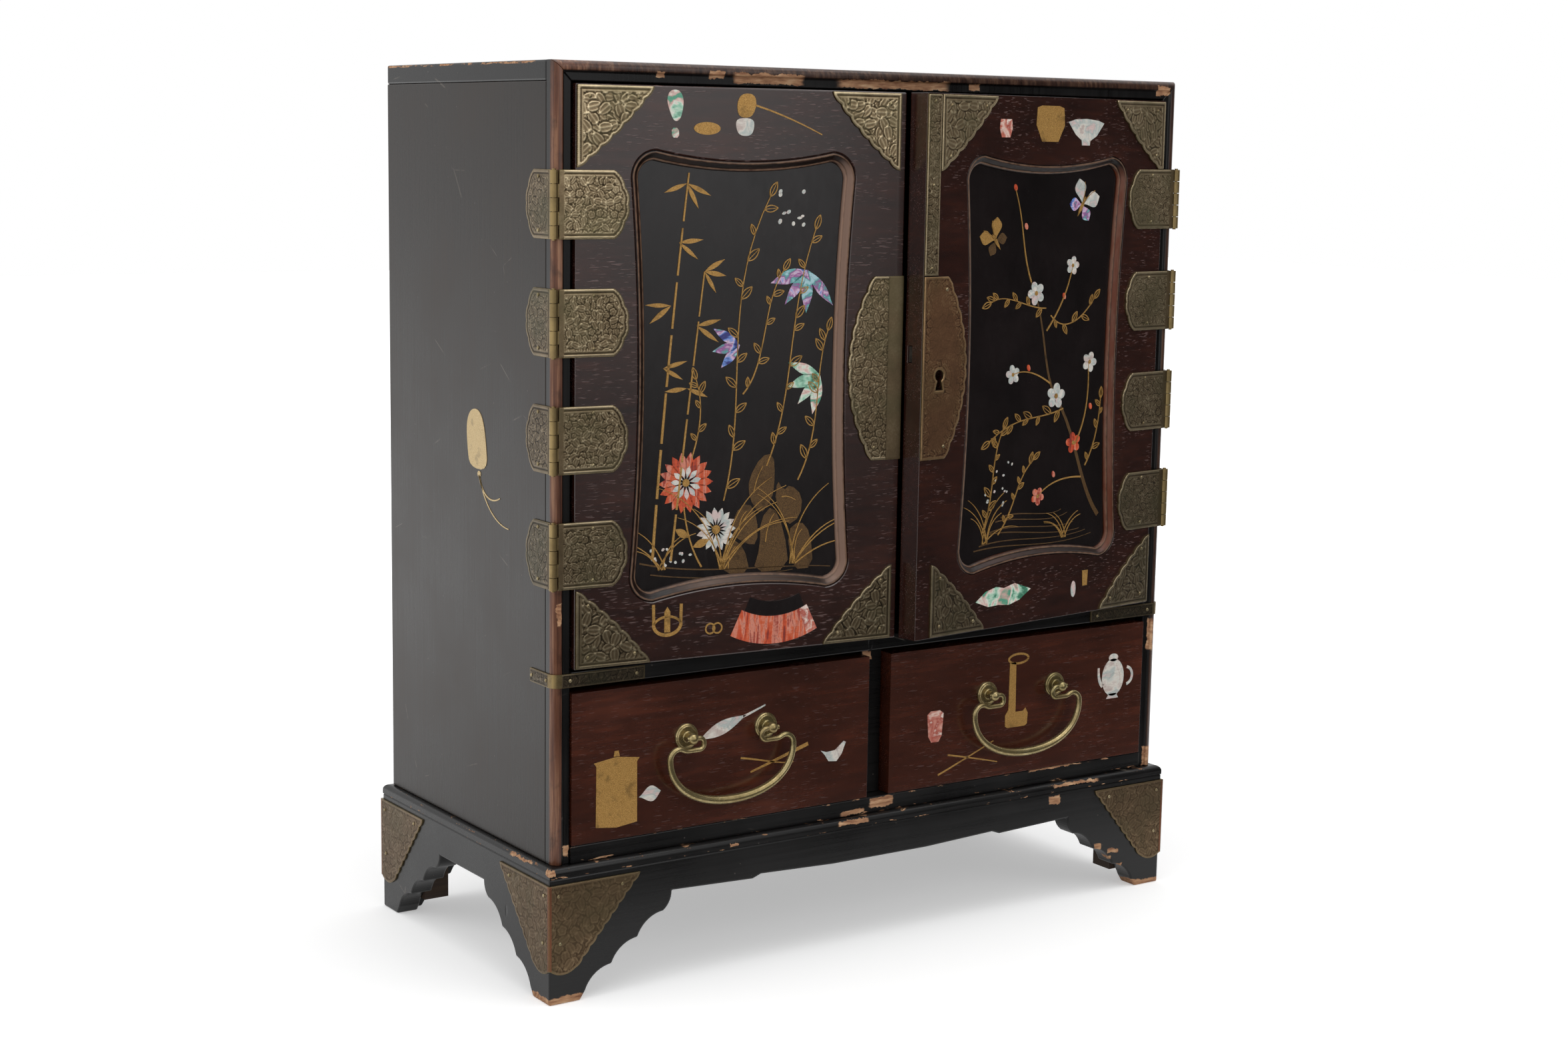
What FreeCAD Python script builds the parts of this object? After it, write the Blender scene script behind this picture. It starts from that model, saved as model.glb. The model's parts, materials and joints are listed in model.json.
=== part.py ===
import FreeCAD, Part
import os
from math import cos, radians, sin, sqrt

# Table cabinet: two hinged doors over two drawers, on a plinth with bracket feet.
# Sizes are in millimetres and degrees. Z is up, the front faces -Y, and the origin
# is on the floor under the middle of the plinth.

V = FreeCAD.Vector
UP = V(0, 0, 1)
ORIGIN = V(0, 0, 0)

# Carcass
carcass_width = 386.0
carcass_depth = 178.5
cabinet_height = 450.0
shell_thickness = 9.5          # sides, top, and the front frame that edges them
bottom_thickness = 8.5
mid_thickness = 7.5            # dust board between drawers and cupboard
back_thickness = 6.0
rail_depth = 22.0              # front strip of the bottom and of the dust board
drawer_opening = 78.5
divider_thickness = 13.0
divider_setback = 8.0
shelf_thickness = 7.0
shelf_setback = 32.0
batten_width = 6.0
batten_height = 8.0

# Front frame moulding
frame_depth = 8.0
bead_radius = 4.0
bead_width = 4.6
bead_step = 1.2                # drop from the bead to the flat beside it
bead_slope = 0.6

# Plinth
plinth_height = 68.0
plinth_overhang = 4.2
ledge_height = 5.0
ledge_width = 16.0
ledge_rounding = 3.0
apron_thickness = 12.0
arch_height = 45.3             # floor to the lowest line of the apron's underside
arch_wave = 1.8                # rise of the long aprons' underside beside each cusp
cusp_reach = 117.0             # corner to the cusp in a long apron's underside
cusp_step = 5.0                # width of the step up beside the cusp
cusp_run = 45.0                # width of the slope back down to the middle
foot_width = 17.0              # foot on the floor, from the corner
foot_rise = 4.5                # height of the plain toe below the scallops
foot_flare = 3.0
bracket_reach = 69.0           # corner to the end of the bracket
bracket_drop = 8.0             # last scallop to the apron's underside
bracket_end = 5.0              # width of the rounded end above the last scallop
bracket_round = 1.4
bracket_scallops = 3
scallop_depth = 2.7
block_size = 14.0
block_lift = 8.0

# Doors
door_thickness = 12.0
door_proud = 0.4
door_gap = 1.0                 # round the doors
meeting_clearance = 0.5        # left between the doors at the closest point of their swing
stile_margin = 29.2            # door's side edge to the panel opening
rail_margin = 30.0             # door's upper or lower edge to the panel opening
panel_corner = 13.0
panel_end_sag = 5.0
panel_side_sag = 4.2
panel_lap = 6.0
panel_lip = 4.0                # front of the frame to the panel
panel_thickness = 5.0
panel_clearance = 0.25
moulding_width = 4.0
moulding_top = 1.6
moulding_drop = 0.4
moulding_clearance = 0.15
left_ajar = 3.8                # how far the doors stand open at rest
right_ajar = 7.6

# Hinges
hinge_height = 32.0
hinge_spacing_least = 20.0     # least gap between two hinges of a door
hinge_mount_gap = 1.0
leaf_thickness = 0.8
door_leaf_length = 38.5        # hinge axis to the tip of the leaf
side_leaf_length = 26.5
leaf_bow = 7.5
leaf_lobes = 4
leaf_bulge = 1.1
right_hinge_rise = 2.8         # right hinges above the left ones
knuckle_radius = 2.0
knuckle_clearance = 0.5
knuckle_count = 5
knuckle_gap = 0.3
pin_radius = 0.9
pin_clearance = 0.05
pin_tip = 0.5

# Brass plates
plate_thickness = 0.8
plate_inset = 0.5
mount_width = 40.0
mount_height = 38.0
mount_bow = 2.0                # swell of the long side
mount_lobes = 7
mount_bulge = 0.9
mount_setback = 3.0            # left door's free edge to its mounts
mount_gap = 0.3                # left round a hinge leaf
lock_plate_height = 92.5
lock_plate_width = 31.0
lock_plate_end = 17.0
lock_plate_lobes = 12
lock_plate_bulge = 0.9
strip_width = 9.5
strap_height = 6.6
strap_front = 50.0
strap_side = 22.0
base_mount_width = 50.0
base_mount_top = 60.0
base_mount_tip = 15.0
base_mount_toe = 14.0
base_mount_turn = 2.5
base_mount_lobes = 9
base_mount_bulge = 0.8

# Lock
lock_rise = 1.0                # lock plates above the middle of the doors
case_width = 18.0
case_height = 36.0
case_depth = 7.0
case_inset = 3.0
bolt_rise = 7.0                # bolt above the middle of the case
bolt_height = 8.0
bolt_thickness = 2.4
bolt_length = 15.0
bolt_inset = 0.5
bolt_clearance = 0.3
strike_depth = 6.5
keyhole_drop = 3.6
keyhole_radius = 2.9
keyslot_neck = 1.2             # slot's width at the middle of the round hole
keyslot_foot = 5.2             # slot's width at its lower end
keyslot_length = 7.4
keyway_depth = 2.5             # keyhole into the lock case

# Drawers
drawer_front_thickness = 12.0
drawer_front_height = 75.0
drawer_gap = 0.5
drawer_lift = 0.3
drawer_back_gap = 12.5         # drawer to the back panel
drawer_side_thickness = 7.0
drawer_side_drop = 5.0         # sides below the top of the drawer front
drawer_back_thickness = 7.0
drawer_bottom_thickness = 4.0
drawer_bottom_lift = 3.0

# Handles
post_spacing = 47.0
post_drop = 28.5               # drawer front's top edge to the handle's axis
post_reach = 6.5
rosette_radius = 6.5
rosette_thickness = 1.6
rosette_chamfer = 0.7
post_neck_radius = 2.0
post_shank_radius = 1.6
shank_clearance = 0.1
shank_end = 2.5
washer_radius = 4.0
washer_thickness = 1.0
eye_radius = 2.9
bail_pin_radius = 1.3
bail_pin_clearance = 0.05
bail_pin_reach = 3.6
bail_curl = 2.9
bail_dip_start = 2.5           # outwards from the post
bail_dip = 6.0                 # radius of the dip under the post
bail_rise = 30.0               # slope from the dip to the shoulder
bail_shoulder = 5.0            # radius of the shoulder
bail_mid_radius = 2.3
bail_fullness = 0.6            # of the bow from the shoulder to the middle
bail_drop = 33.5

# Places worked out from the sizes above
half_width = carcass_width / 2
front = -carcass_depth / 2
rear = carcass_depth / 2
inner_half = half_width - shell_thickness
top_inside = cabinet_height - shell_thickness
drawer_floor = plinth_height + bottom_thickness
drawer_ceiling = drawer_floor + drawer_opening
cupboard_floor = drawer_ceiling + mid_thickness
back_inside = rear - back_thickness
plinth_half_width = half_width + plinth_overhang
plinth_half_depth = carcass_depth / 2 + plinth_overhang
apron_top = plinth_height - ledge_height

door_face = front - door_proud
door_back = door_face + door_thickness
pivot_offset = (bead_radius + knuckle_radius + knuckle_clearance) / sqrt(2) - bead_radius
pivot_x = half_width + pivot_offset
pivot_y = front - pivot_offset
edge_swing = sqrt(pivot_x ** 2 + (door_back - pivot_y) ** 2) - pivot_x
door_outer = inner_half - door_gap
door_inner = edge_swing + meeting_clearance / 2
door_low = cupboard_floor + door_gap
door_high = top_inside - door_gap
door_middle_x = -(door_outer + door_inner) / 2
door_middle_z = (door_low + door_high) / 2
panel_half_width = (door_outer - door_inner) / 2 - stile_margin
panel_half_height = (door_high - door_low) / 2 - rail_margin
panel_face = door_face + panel_lip
lock_z = door_middle_z + lock_rise

drawer_length = back_inside - drawer_back_gap - front
drawer_outer = inner_half - drawer_gap
drawer_inner = divider_thickness / 2 + drawer_gap
drawer_middle = -(drawer_outer + drawer_inner) / 2
drawer_low = drawer_floor + drawer_lift
drawer_high = drawer_low + drawer_front_height
post_z = drawer_high - post_drop
eye_y = front - post_reach


def box(low, high):
    """Block between two opposite corners."""
    low = V(*low)
    size = V(*high) - low
    return Part.makeBox(size.x, size.y, size.z, low)


def mirrored(shape):
    """The same piece on the other side of the cabinet."""
    return shape.mirror(ORIGIN, V(1, 0, 0))


def joined(shapes):
    """One solid out of pieces that touch or overlap."""
    whole = shapes[0].fuse(shapes[1:])
    return whole.removeSplitter()


def edges_along(start, steps, place):
    """Edges of an outline. A step is an end point, or a (way point, end point) pair for an arc."""
    edges = []
    here = place(*start)
    for step in steps:
        if isinstance(step[0], tuple):
            there = place(*step[1])
            edges.append(Part.Arc(here, place(*step[0]), there).toShape())
        else:
            there = place(*step)
            edges.append(Part.LineSegment(here, there).toShape())
        here = there
    return edges


def slab(start, steps, place, push):
    """Flat closed outline, pushed along a vector."""
    edges = edges_along(start, list(steps) + [start], place)
    return Part.Face(Part.Wire(edges)).extrude(push)


def lobes(points, bulge):
    """Arc steps of a lobed edge, each lobe swelling to the left of the way along the points."""
    steps = []
    for (u0, v0), (u1, v1) in zip(points, points[1:]):
        length = sqrt((u1 - u0) ** 2 + (v1 - v0) ** 2)
        crest = (
            (u0 + u1) / 2 - (v1 - v0) / length * bulge,
            (v0 + v1) / 2 + (u1 - u0) / length * bulge,
        )
        steps.append((crest, (u1, v1)))
    return steps


def spaced(start, end, count):
    """Points that divide a straight line into equal steps."""
    points = []
    for i in range(count + 1):
        share = i / count
        u = start[0] + (end[0] - start[0]) * share
        v = start[1] + (end[1] - start[1]) * share
        points.append((u, v))
    return points


def bowed(reach_end, reach_middle, half_height, count):
    """Points down a bowed edge, from its upper end to its lower end."""
    points = []
    for i in range(count + 1):
        share = 1 - 2 * i / count
        reach = reach_middle - (reach_middle - reach_end) * share ** 2
        points.append((reach, share * half_height))
    return points


# Carcass boards

def side_panel():
    return box((-half_width, front + frame_depth, plinth_height), (-inner_half, rear, top_inside))


def top_panel():
    return box((-half_width, front + frame_depth, top_inside), (half_width, rear, cabinet_height))


def back_panel():
    return box((-inner_half, back_inside, plinth_height), (inner_half, rear, top_inside))


def floor_rail(low, high):
    """Front strip of a horizontal board."""
    return box((-inner_half, front, low), (inner_half, front + rail_depth, high))


def floor_board(low, high):
    """The board behind its front strip."""
    return box((-inner_half, front + rail_depth, low), (inner_half, back_inside, high))


def drawer_divider():
    half = divider_thickness / 2
    return box((-half, front + divider_setback, drawer_floor), (half, back_inside, drawer_ceiling))


def shelf_middle():
    return (cupboard_floor + top_inside) / 2


def cupboard_shelf():
    low = shelf_middle() - shelf_thickness / 2
    return box((-inner_half, front + shelf_setback, low), (inner_half, back_inside, low + shelf_thickness))


def shelf_batten():
    high = shelf_middle() - shelf_thickness / 2
    low = high - batten_height
    return box((-inner_half, front + shelf_setback, low), (-inner_half + batten_width, back_inside, high))


# Front frame: a bead along the outer edge, then a flat set back from it, mitred at the top corners

def frame_section(place, push):
    """Frame member, by distance from its outer face and from the cabinet's front."""
    arc_way = bead_radius * (1 - sqrt(0.5))
    steps = [
        (0, bead_radius),
        ((arc_way, arc_way), (bead_radius, 0)),
        (bead_width, 0),
        (bead_width + bead_slope, bead_step),
        (shell_thickness, bead_step),
        (shell_thickness, frame_depth),
    ]
    return slab((0, frame_depth), steps, place, push)


def mitre_wedge(corner_x, corner_z, inward):
    """Wedge between the mitre line of a top corner and the stile's inner and upper sides."""
    reach = shell_thickness * inward
    steps = [(corner_x + reach, corner_z - shell_thickness), (corner_x + reach, corner_z)]
    return slab((corner_x, corner_z), steps, lambda x, z: V(x, front, z), V(0, frame_depth, 0))


def frame_stile():
    length = V(0, 0, cabinet_height - plinth_height)
    stile = frame_section(lambda u, v: V(-half_width + u, front + v, plinth_height), length)
    return stile.cut(mitre_wedge(-half_width, cabinet_height, 1))


def frame_top_rail():
    length = V(carcass_width, 0, 0)
    rail = frame_section(lambda u, v: V(-half_width, front + v, cabinet_height - u), length)
    for side in (-1, 1):
        outer = side * half_width
        steps = [(outer, top_inside), (outer - side * shell_thickness, top_inside)]
        end = slab((outer, cabinet_height), steps, lambda x, z: V(x, front, z), V(0, frame_depth, 0))
        rail = rail.cut(end)
    return rail


# Plinth: four mitred aprons with lobed brackets, a ledge on top and blocks in the corners

def mitre_ends(piece, half_length, half_across, width, height):
    """Cuts both ends of a piece that runs along X, in front of the origin, to 45 degrees."""
    for side in (-1, 1):
        outer = side * half_length
        inner = outer - side * width
        steps = [(outer, -half_across + width), (inner, -half_across + width)]
        wedge = slab((outer, -half_across), steps, lambda x, y: V(x, y, 0), V(0, 0, height))
        piece = piece.cut(wedge)
    return piece


def arch_half(half_length):
    """Right half of an apron's underside, from the bracket inwards. A long apron has a cusp in it."""
    end_x = half_length - bracket_reach
    cusp_x = half_length - cusp_reach
    if cusp_x < cusp_step + cusp_run:
        return [(end_x, arch_height)]
    crest = arch_height + arch_wave
    slope_x = cusp_x - cusp_step
    return [(end_x, crest), (cusp_x, arch_height), (slope_x, crest), (slope_x - cusp_run, arch_height)]


def apron(half_length, half_across):
    """Apron along X, with a foot at each end."""
    arch = arch_half(half_length)
    toe_top = (half_length - foot_width - foot_flare, foot_rise)
    last_cusp = (half_length - bracket_reach + bracket_end, arch_height - bracket_drop)
    bracket = spaced(toe_top, last_cusp, bracket_scallops)
    other_arch = [(-x, z) for x, z in reversed(arch)]
    other_bracket = [(-x, z) for x, z in reversed(bracket)]
    steps = [(half_length, apron_top), (half_length, 0), (half_length - foot_width, 0), toe_top]
    steps += lobes(bracket, -scallop_depth)
    steps += lobes([last_cusp, arch[0]], bracket_round)
    steps += arch[1:] + other_arch
    steps += lobes([other_arch[-1], other_bracket[0]], bracket_round)
    steps += lobes(other_bracket, -scallop_depth)
    steps += [(-half_length + foot_width, 0), (-half_length, 0)]
    place = lambda x, z: V(x, -half_across, z)
    board = slab((-half_length, apron_top), steps, place, V(0, apron_thickness, 0))
    return mitre_ends(board, half_length, half_across, apron_thickness, apron_top)


def ledge(half_length, half_across):
    """Rounded ledge along X, on top of an apron."""
    outer = -half_across
    soft = ledge_rounding * (1 - sqrt(0.5))
    steps = [
        (outer + ledge_width, apron_top),
        (outer + ledge_width, plinth_height),
        (outer + ledge_rounding, plinth_height),
        ((outer + soft, plinth_height - soft), (outer, plinth_height - ledge_rounding)),
    ]
    strip = slab((outer, apron_top), steps, lambda y, z: V(-half_length, y, z), V(2 * half_length, 0, 0))
    return mitre_ends(strip, half_length, half_across, ledge_width, plinth_height)


def turned(shape, angle):
    """Turned about the cabinet's upright middle line."""
    copy = shape.copy()
    copy.rotate(ORIGIN, UP, angle)
    return copy


def four_sided(maker):
    """A plinth member for the front, left, back and right."""
    along_front = maker(plinth_half_width, plinth_half_depth)
    along_side = maker(plinth_half_depth, plinth_half_width)
    return {
        "front": along_front,
        "left": turned(along_side, -90),
        "back": turned(along_front, 180),
        "right": turned(along_side, 90),
    }


def corner_blocks():
    blocks = []
    x = plinth_half_width - apron_thickness
    y = plinth_half_depth - apron_thickness
    for side_x in (-1, 1):
        for side_y in (-1, 1):
            xs = sorted((side_x * x, side_x * (x - block_size)))
            ys = sorted((side_y * y, side_y * (y - block_size)))
            blocks.append(box((xs[0], ys[0], block_lift), (xs[1], ys[1], apron_top)))
    return Part.makeCompound(blocks)


# Doors, drawn shut on the left and mirrored to the right

def cartouche(inset, y):
    """Outline of the panel opening: four sagging sides and four round corners."""
    a = panel_half_width - inset
    b = panel_half_height - inset
    r = panel_corner - inset
    turn = r * (1 - sqrt(0.5))
    place = lambda u, v: V(door_middle_x + u, y, door_middle_z + v)
    steps = [
        ((0, b - panel_end_sag), (a - r, b)),
        ((a - turn, b - turn), (a, b - r)),
        ((a - panel_side_sag, 0), (a, r - b)),
        ((a - turn, turn - b), (a - r, -b)),
        ((0, panel_end_sag - b), (r - a, -b)),
        ((turn - a, turn - b), (-a, r - b)),
        ((panel_side_sag - a, 0), (-a, b - r)),
        ((turn - a, b - turn), (r - a, b)),
    ]
    return Part.Wire(edges_along((r - a, b), steps, place))


def panel_block(margin, y_low, y_high):
    """Rectangle round the panel opening."""
    half_x = panel_half_width + margin
    half_z = panel_half_height + margin
    low = (door_middle_x - half_x, y_low, door_middle_z - half_z)
    return box(low, (door_middle_x + half_x, y_high, door_middle_z + half_z))


def door_frame():
    """Stiles and rails, with the panel opening in front and its rebate behind."""
    board = box((-door_outer, door_face, door_low), (-door_inner, door_back, door_high))
    opening = Part.Face(cartouche(0, door_face)).extrude(V(0, panel_lip, 0))
    board = board.cut(opening).cut(panel_block(panel_lap, panel_face, door_back))
    split = panel_half_width - panel_corner
    left = door_middle_x - split
    right = door_middle_x + split
    zones = {
        "hinge_stile": (-door_outer, left, door_low, door_high),
        "meeting_stile": (right, -door_inner, door_low, door_high),
        "top_rail": (left, right, door_middle_z, door_high),
        "bottom_rail": (left, right, door_low, door_middle_z),
    }
    pieces = {}
    for name, (x0, x1, z0, z1) in zones.items():
        pieces[name] = board.common(box((x0, door_face, z0), (x1, door_back, z1)))
    return pieces


def door_panel():
    return panel_block(panel_lap - panel_clearance, panel_face, panel_face + panel_thickness)


def panel_moulding():
    """Ring in the panel opening, splayed down to the panel."""
    top = door_face + moulding_drop
    outer = Part.Face(cartouche(moulding_clearance, top)).extrude(V(0, panel_face - top, 0))
    inner = Part.makeLoft([cartouche(moulding_top, top), cartouche(moulding_width, panel_face)], True, True)
    return outer.cut(inner)


# Hinges, their knuckles standing at the cabinet's front corners

def hinge_heights():
    """Middles of the hinges, evenly spread between the corner mounts of the door."""
    low = door_low + plate_inset + mount_height + hinge_mount_gap
    high = door_high - plate_inset - mount_height - hinge_mount_gap
    count = int((high - low + hinge_spacing_least) / (hinge_height + hinge_spacing_least))
    first = low + hinge_height / 2
    pitch = (high - low - hinge_height) / (count - 1)
    return [first + pitch * i for i in range(count)]


def hinge_leaf(length, underside, first_knuckle):
    """Leaf along X with its hinge axis on the origin, holding every second knuckle."""
    half = hinge_height / 2
    start = knuckle_radius + knuckle_clearance
    steps = [(length - leaf_bow, half)]
    steps += lobes(bowed(length - leaf_bow, length, half, leaf_lobes), leaf_bulge)
    steps += [(start, -half)]
    near = underside - leaf_thickness
    plate = slab((start, half), steps, lambda x, z: V(x, near, z), V(0, leaf_thickness, 0))
    pieces = [plate]
    step = hinge_height / knuckle_count
    for i in range(first_knuckle, knuckle_count, 2):
        low = -half + i * step + knuckle_gap / 2
        high = low + step - knuckle_gap
        pieces.append(Part.makeCylinder(knuckle_radius, high - low, V(0, 0, low)))
        pieces.append(box((0, near, low), (start, underside, high)))
    bore = Part.makeCylinder(pin_radius + pin_clearance, hinge_height, V(0, 0, -half))
    return joined(pieces).cut(bore)


def door_leaf():
    return hinge_leaf(door_leaf_length, door_face - pivot_y, 1)


def side_leaf():
    """Leaf for the cabinet's side, turned to run backwards from the knuckle."""
    leaf = hinge_leaf(side_leaf_length, leaf_thickness - pivot_offset, 0)
    return turned(leaf, 90)


def hinge_pin():
    length = hinge_height + 2 * pin_tip
    return Part.makeCylinder(pin_radius, length, V(0, 0, -length / 2))


def leaf_space():
    """Room for a door's hinge leaf, on the face of the door."""
    half = hinge_height / 2 + mount_gap
    underside = door_face - pivot_y
    return box((0, underside - leaf_thickness, -half), (door_leaf_length + mount_gap, underside, half))


def at_hinges(piece, side):
    """One copy of a piece at each hinge of a door, drawn on the left."""
    rise = 0 if side == "left" else right_hinge_rise
    copies = []
    for z in hinge_heights():
        copy = piece.copy()
        copy.translate(V(-pivot_x, pivot_y, z + rise))
        copies.append(copy)
    return Part.makeCompound(copies)


# Brass plates on the doors

def corner_mount(edge_x, inward_x, edge_z, inward_z):
    """Three-cornered plate in a corner of a door, lobed along its long side."""
    slope = []
    for s, t in spaced((mount_width, 0), (0, mount_height), mount_lobes):
        swell = mount_bow * 4 * s * t / (mount_width * mount_height)
        slope.append((s + swell * sqrt(0.5), t + swell * sqrt(0.5)))
    place = lambda s, t: V(
        edge_x + inward_x * (plate_inset + s), door_face, edge_z + inward_z * (plate_inset + t)
    )
    steps = [(mount_width, 0)] + lobes(slope, -mount_bulge)
    return slab((0, 0), steps, place, V(0, -plate_thickness, 0))


def corner_mounts(side):
    """The four corner mounts of a door, drawn on the left and clear of its hinges."""
    meeting_offset = mount_setback if side == "left" else strip_width
    mounts = []
    for edge_z, inward_z in ((door_low, 1), (door_high, -1)):
        mounts.append(corner_mount(-door_outer, 1, edge_z, inward_z))
        mounts.append(corner_mount(-door_inner - meeting_offset, -1, edge_z, inward_z))
    return Part.makeCompound(mounts).cut(at_hinges(leaf_space(), side))


def lock_plate():
    """Plate along the left door's free edge, bowed and lobed on the other side."""
    half = lock_plate_height / 2
    place = lambda s, z: V(-door_inner - s, door_face, lock_z + z)
    steps = [(lock_plate_end, half)]
    steps += lobes(bowed(lock_plate_end, lock_plate_width, half, lock_plate_lobes), lock_plate_bulge)
    steps += [(0, -half)]
    return slab((0, half), steps, place, V(0, -plate_thickness, 0))


def meeting_strip():
    """Strip up the right door's free edge, from the lock plate to the top."""
    low = lock_z + lock_plate_height / 2 + plate_inset
    return box(
        (door_inner, door_face - plate_thickness, low),
        (door_inner + strip_width, door_face, door_high - plate_inset),
    )


# Lock in the right door

def lock_case_block():
    """The lock case, let into the meeting stile from behind."""
    x0 = door_inner + case_inset
    half = case_height / 2
    return box((x0, door_back - case_depth, lock_z - half), (x0 + case_width, door_back, lock_z + half))


def bolt_block(grow):
    """The bolt, drawn back into the door."""
    y = door_back - case_depth / 2
    z = lock_z + bolt_rise
    half_y = bolt_thickness / 2 + grow
    half_z = bolt_height / 2 + grow
    x0 = door_inner + bolt_inset
    return box((x0, y - half_y, z - half_z), (x0 + bolt_length + grow, y + half_y, z + half_z))


def bolt_way():
    """Clear way for the bolt, out through the door's edge."""
    way = bolt_block(bolt_clearance)
    mouth = way.BoundBox
    return way.fuse(box((0, mouth.YMin, mouth.ZMin), (mouth.XMin, mouth.YMax, mouth.ZMax)))


def strike_mortise():
    """Pocket for the bolt in the left door's edge."""
    mouth = bolt_block(2 * bolt_clearance).BoundBox
    return box((-door_inner - strike_depth, mouth.YMin, mouth.ZMin), (0, mouth.YMax, mouth.ZMax))


def keyhole(depth):
    """Keyhole through the right lock plate and on into the door: a round hole over a flared slot."""
    x = door_inner + case_inset + case_width / 2
    z = lock_z - keyhole_drop
    start = door_face - plate_thickness
    hole = Part.makeCylinder(keyhole_radius, depth, V(x, start, z), V(0, 1, 0))
    neck = keyslot_neck / 2
    foot = keyslot_foot / 2
    place = lambda u, v: V(x + u, start, z + v)
    steps = [(foot, -keyslot_length), (-foot, -keyslot_length), (-neck, 0)]
    return hole.fuse(slab((neck, 0), steps, place, V(0, depth, 0)))


# Brass on the cabinet's corners

def corner_strap():
    """Strap round the left front corner at the dust board."""
    low = (drawer_ceiling + cupboard_floor - strap_height) / 2
    t = plate_thickness
    outer = box(
        (-half_width - t, front - t, low),
        (-half_width + strap_front, front + strap_side, low + strap_height),
    )
    inner = box((-half_width, front, low), (inner_half, rear, low + strap_height))
    return rounded_corner(outer, bead_radius + t).cut(rounded_corner(inner, bead_radius))


def rounded_corner(block, radius):
    """Rounds the upright edge of a block at its left front corner."""
    bounds = block.BoundBox
    corner = V(bounds.XMin, bounds.YMin, bounds.Center.z)
    edge = min(block.Edges, key=lambda e: e.CenterOfMass.distanceToPoint(corner))
    return block.makeFillet(radius, [edge])


def base_mount():
    """Mount round the left front corner of the plinth, narrowing down the foot."""
    slope = spaced((base_mount_width, base_mount_top), (base_mount_toe, base_mount_tip + base_mount_turn),
                   base_mount_lobes)
    t = plate_thickness
    steps = [(base_mount_width, base_mount_top)] + lobes(slope, base_mount_bulge)
    steps += [((base_mount_toe / 2, base_mount_tip), (0, base_mount_tip + base_mount_turn))]
    on_front = lambda s, z: V(-plinth_half_width + s, -plinth_half_depth, z)
    on_side = lambda s, z: V(-plinth_half_width, -plinth_half_depth + s, z)
    front_plate = slab((0, base_mount_top), steps, on_front, V(0, -t, 0))
    side_plate = slab((0, base_mount_top), steps, on_side, V(-t, 0, 0))
    corner = box(
        (-plinth_half_width - t, -plinth_half_depth - t, base_mount_tip + base_mount_turn),
        (-plinth_half_width, -plinth_half_depth, base_mount_top),
    )
    return joined([front_plate, side_plate, corner])


def base_mounts():
    """The mounts of all four feet."""
    left = base_mount()
    right = mirrored(left)
    pair = [left, right]
    pair += [piece.mirror(ORIGIN, V(0, 1, 0)) for piece in (left, right)]
    return Part.makeCompound(pair)


# Drawers, drawn on the left and mirrored to the right

def post_places():
    half = post_spacing / 2
    return (drawer_middle - half, drawer_middle + half)


def drawer_front():
    t = drawer_front_thickness
    board = box((-drawer_outer, front, drawer_low), (-drawer_inner, front + t, drawer_high))
    for x in post_places():
        hole_radius = post_shank_radius + shank_clearance
        board = board.cut(Part.makeCylinder(hole_radius, t, V(x, front, post_z), V(0, 1, 0)))
    return board


def drawer_sides():
    y0 = front + drawer_front_thickness
    y1 = front + drawer_length
    high = drawer_high - drawer_side_drop
    t = drawer_side_thickness
    sides = [
        box((-drawer_outer, y0, drawer_low), (-drawer_outer + t, y1, high)),
        box((-drawer_inner - t, y0, drawer_low), (-drawer_inner, y1, high)),
    ]
    return Part.makeCompound(sides)


def drawer_back():
    y1 = front + drawer_length
    t = drawer_side_thickness
    low = drawer_low + drawer_bottom_lift + drawer_bottom_thickness
    high = drawer_high - drawer_side_drop
    return box((-drawer_outer + t, y1 - drawer_back_thickness, low), (-drawer_inner - t, y1, high))


def drawer_bottom():
    y0 = front + drawer_front_thickness
    t = drawer_side_thickness
    low = drawer_low + drawer_bottom_lift
    high = low + drawer_bottom_thickness
    return box((-drawer_outer + t, y0, low), (-drawer_inner - t, front + drawer_length, high))


def handle_post(x):
    """Rosette and eye in front of the drawer, with a shank clinched inside it."""
    back = V(0, 1, 0)
    rosette_face = V(x, front - rosette_thickness, post_z)
    rosette = Part.makeCylinder(rosette_radius, rosette_thickness, rosette_face, back)
    rim = min(rosette.Edges, key=lambda e: e.CenterOfMass.y)
    rosette = rosette.makeChamfer(rosette_chamfer, [rim])
    neck = Part.makeCylinder(post_neck_radius, post_reach, V(x, eye_y, post_z), back)
    eye = Part.makeSphere(eye_radius, V(x, eye_y, post_z))
    shank_length = drawer_front_thickness + washer_thickness + shank_end
    shank = Part.makeCylinder(post_shank_radius, shank_length, V(x, front, post_z), back)
    inside = V(x, front + drawer_front_thickness, post_z)
    washer = Part.makeCylinder(washer_radius, washer_thickness, inside, back)
    hole_radius = bail_pin_radius + bail_pin_clearance
    hole = Part.makeCylinder(hole_radius, 2 * eye_radius, V(x - eye_radius, eye_y, post_z), V(1, 0, 0))
    return joined([rosette, neck, eye, shank, washer]).cut(hole)


def handle_posts(side):
    """Both posts of a drawer's handle, drawn where they stand."""
    sign = 1 if side == "left" else -1
    return Part.makeCompound([handle_post(sign * x) for x in post_places()])


def circle_wire(radius, centre, normal):
    return Part.Wire(Part.Circle(centre, normal, radius).toShape())


def bezier(points):
    """Smooth curve from the first point to the last, drawn towards the ones between."""
    curve = Part.BezierCurve()
    curve.setPoles(points)
    return curve.toShape()


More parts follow.
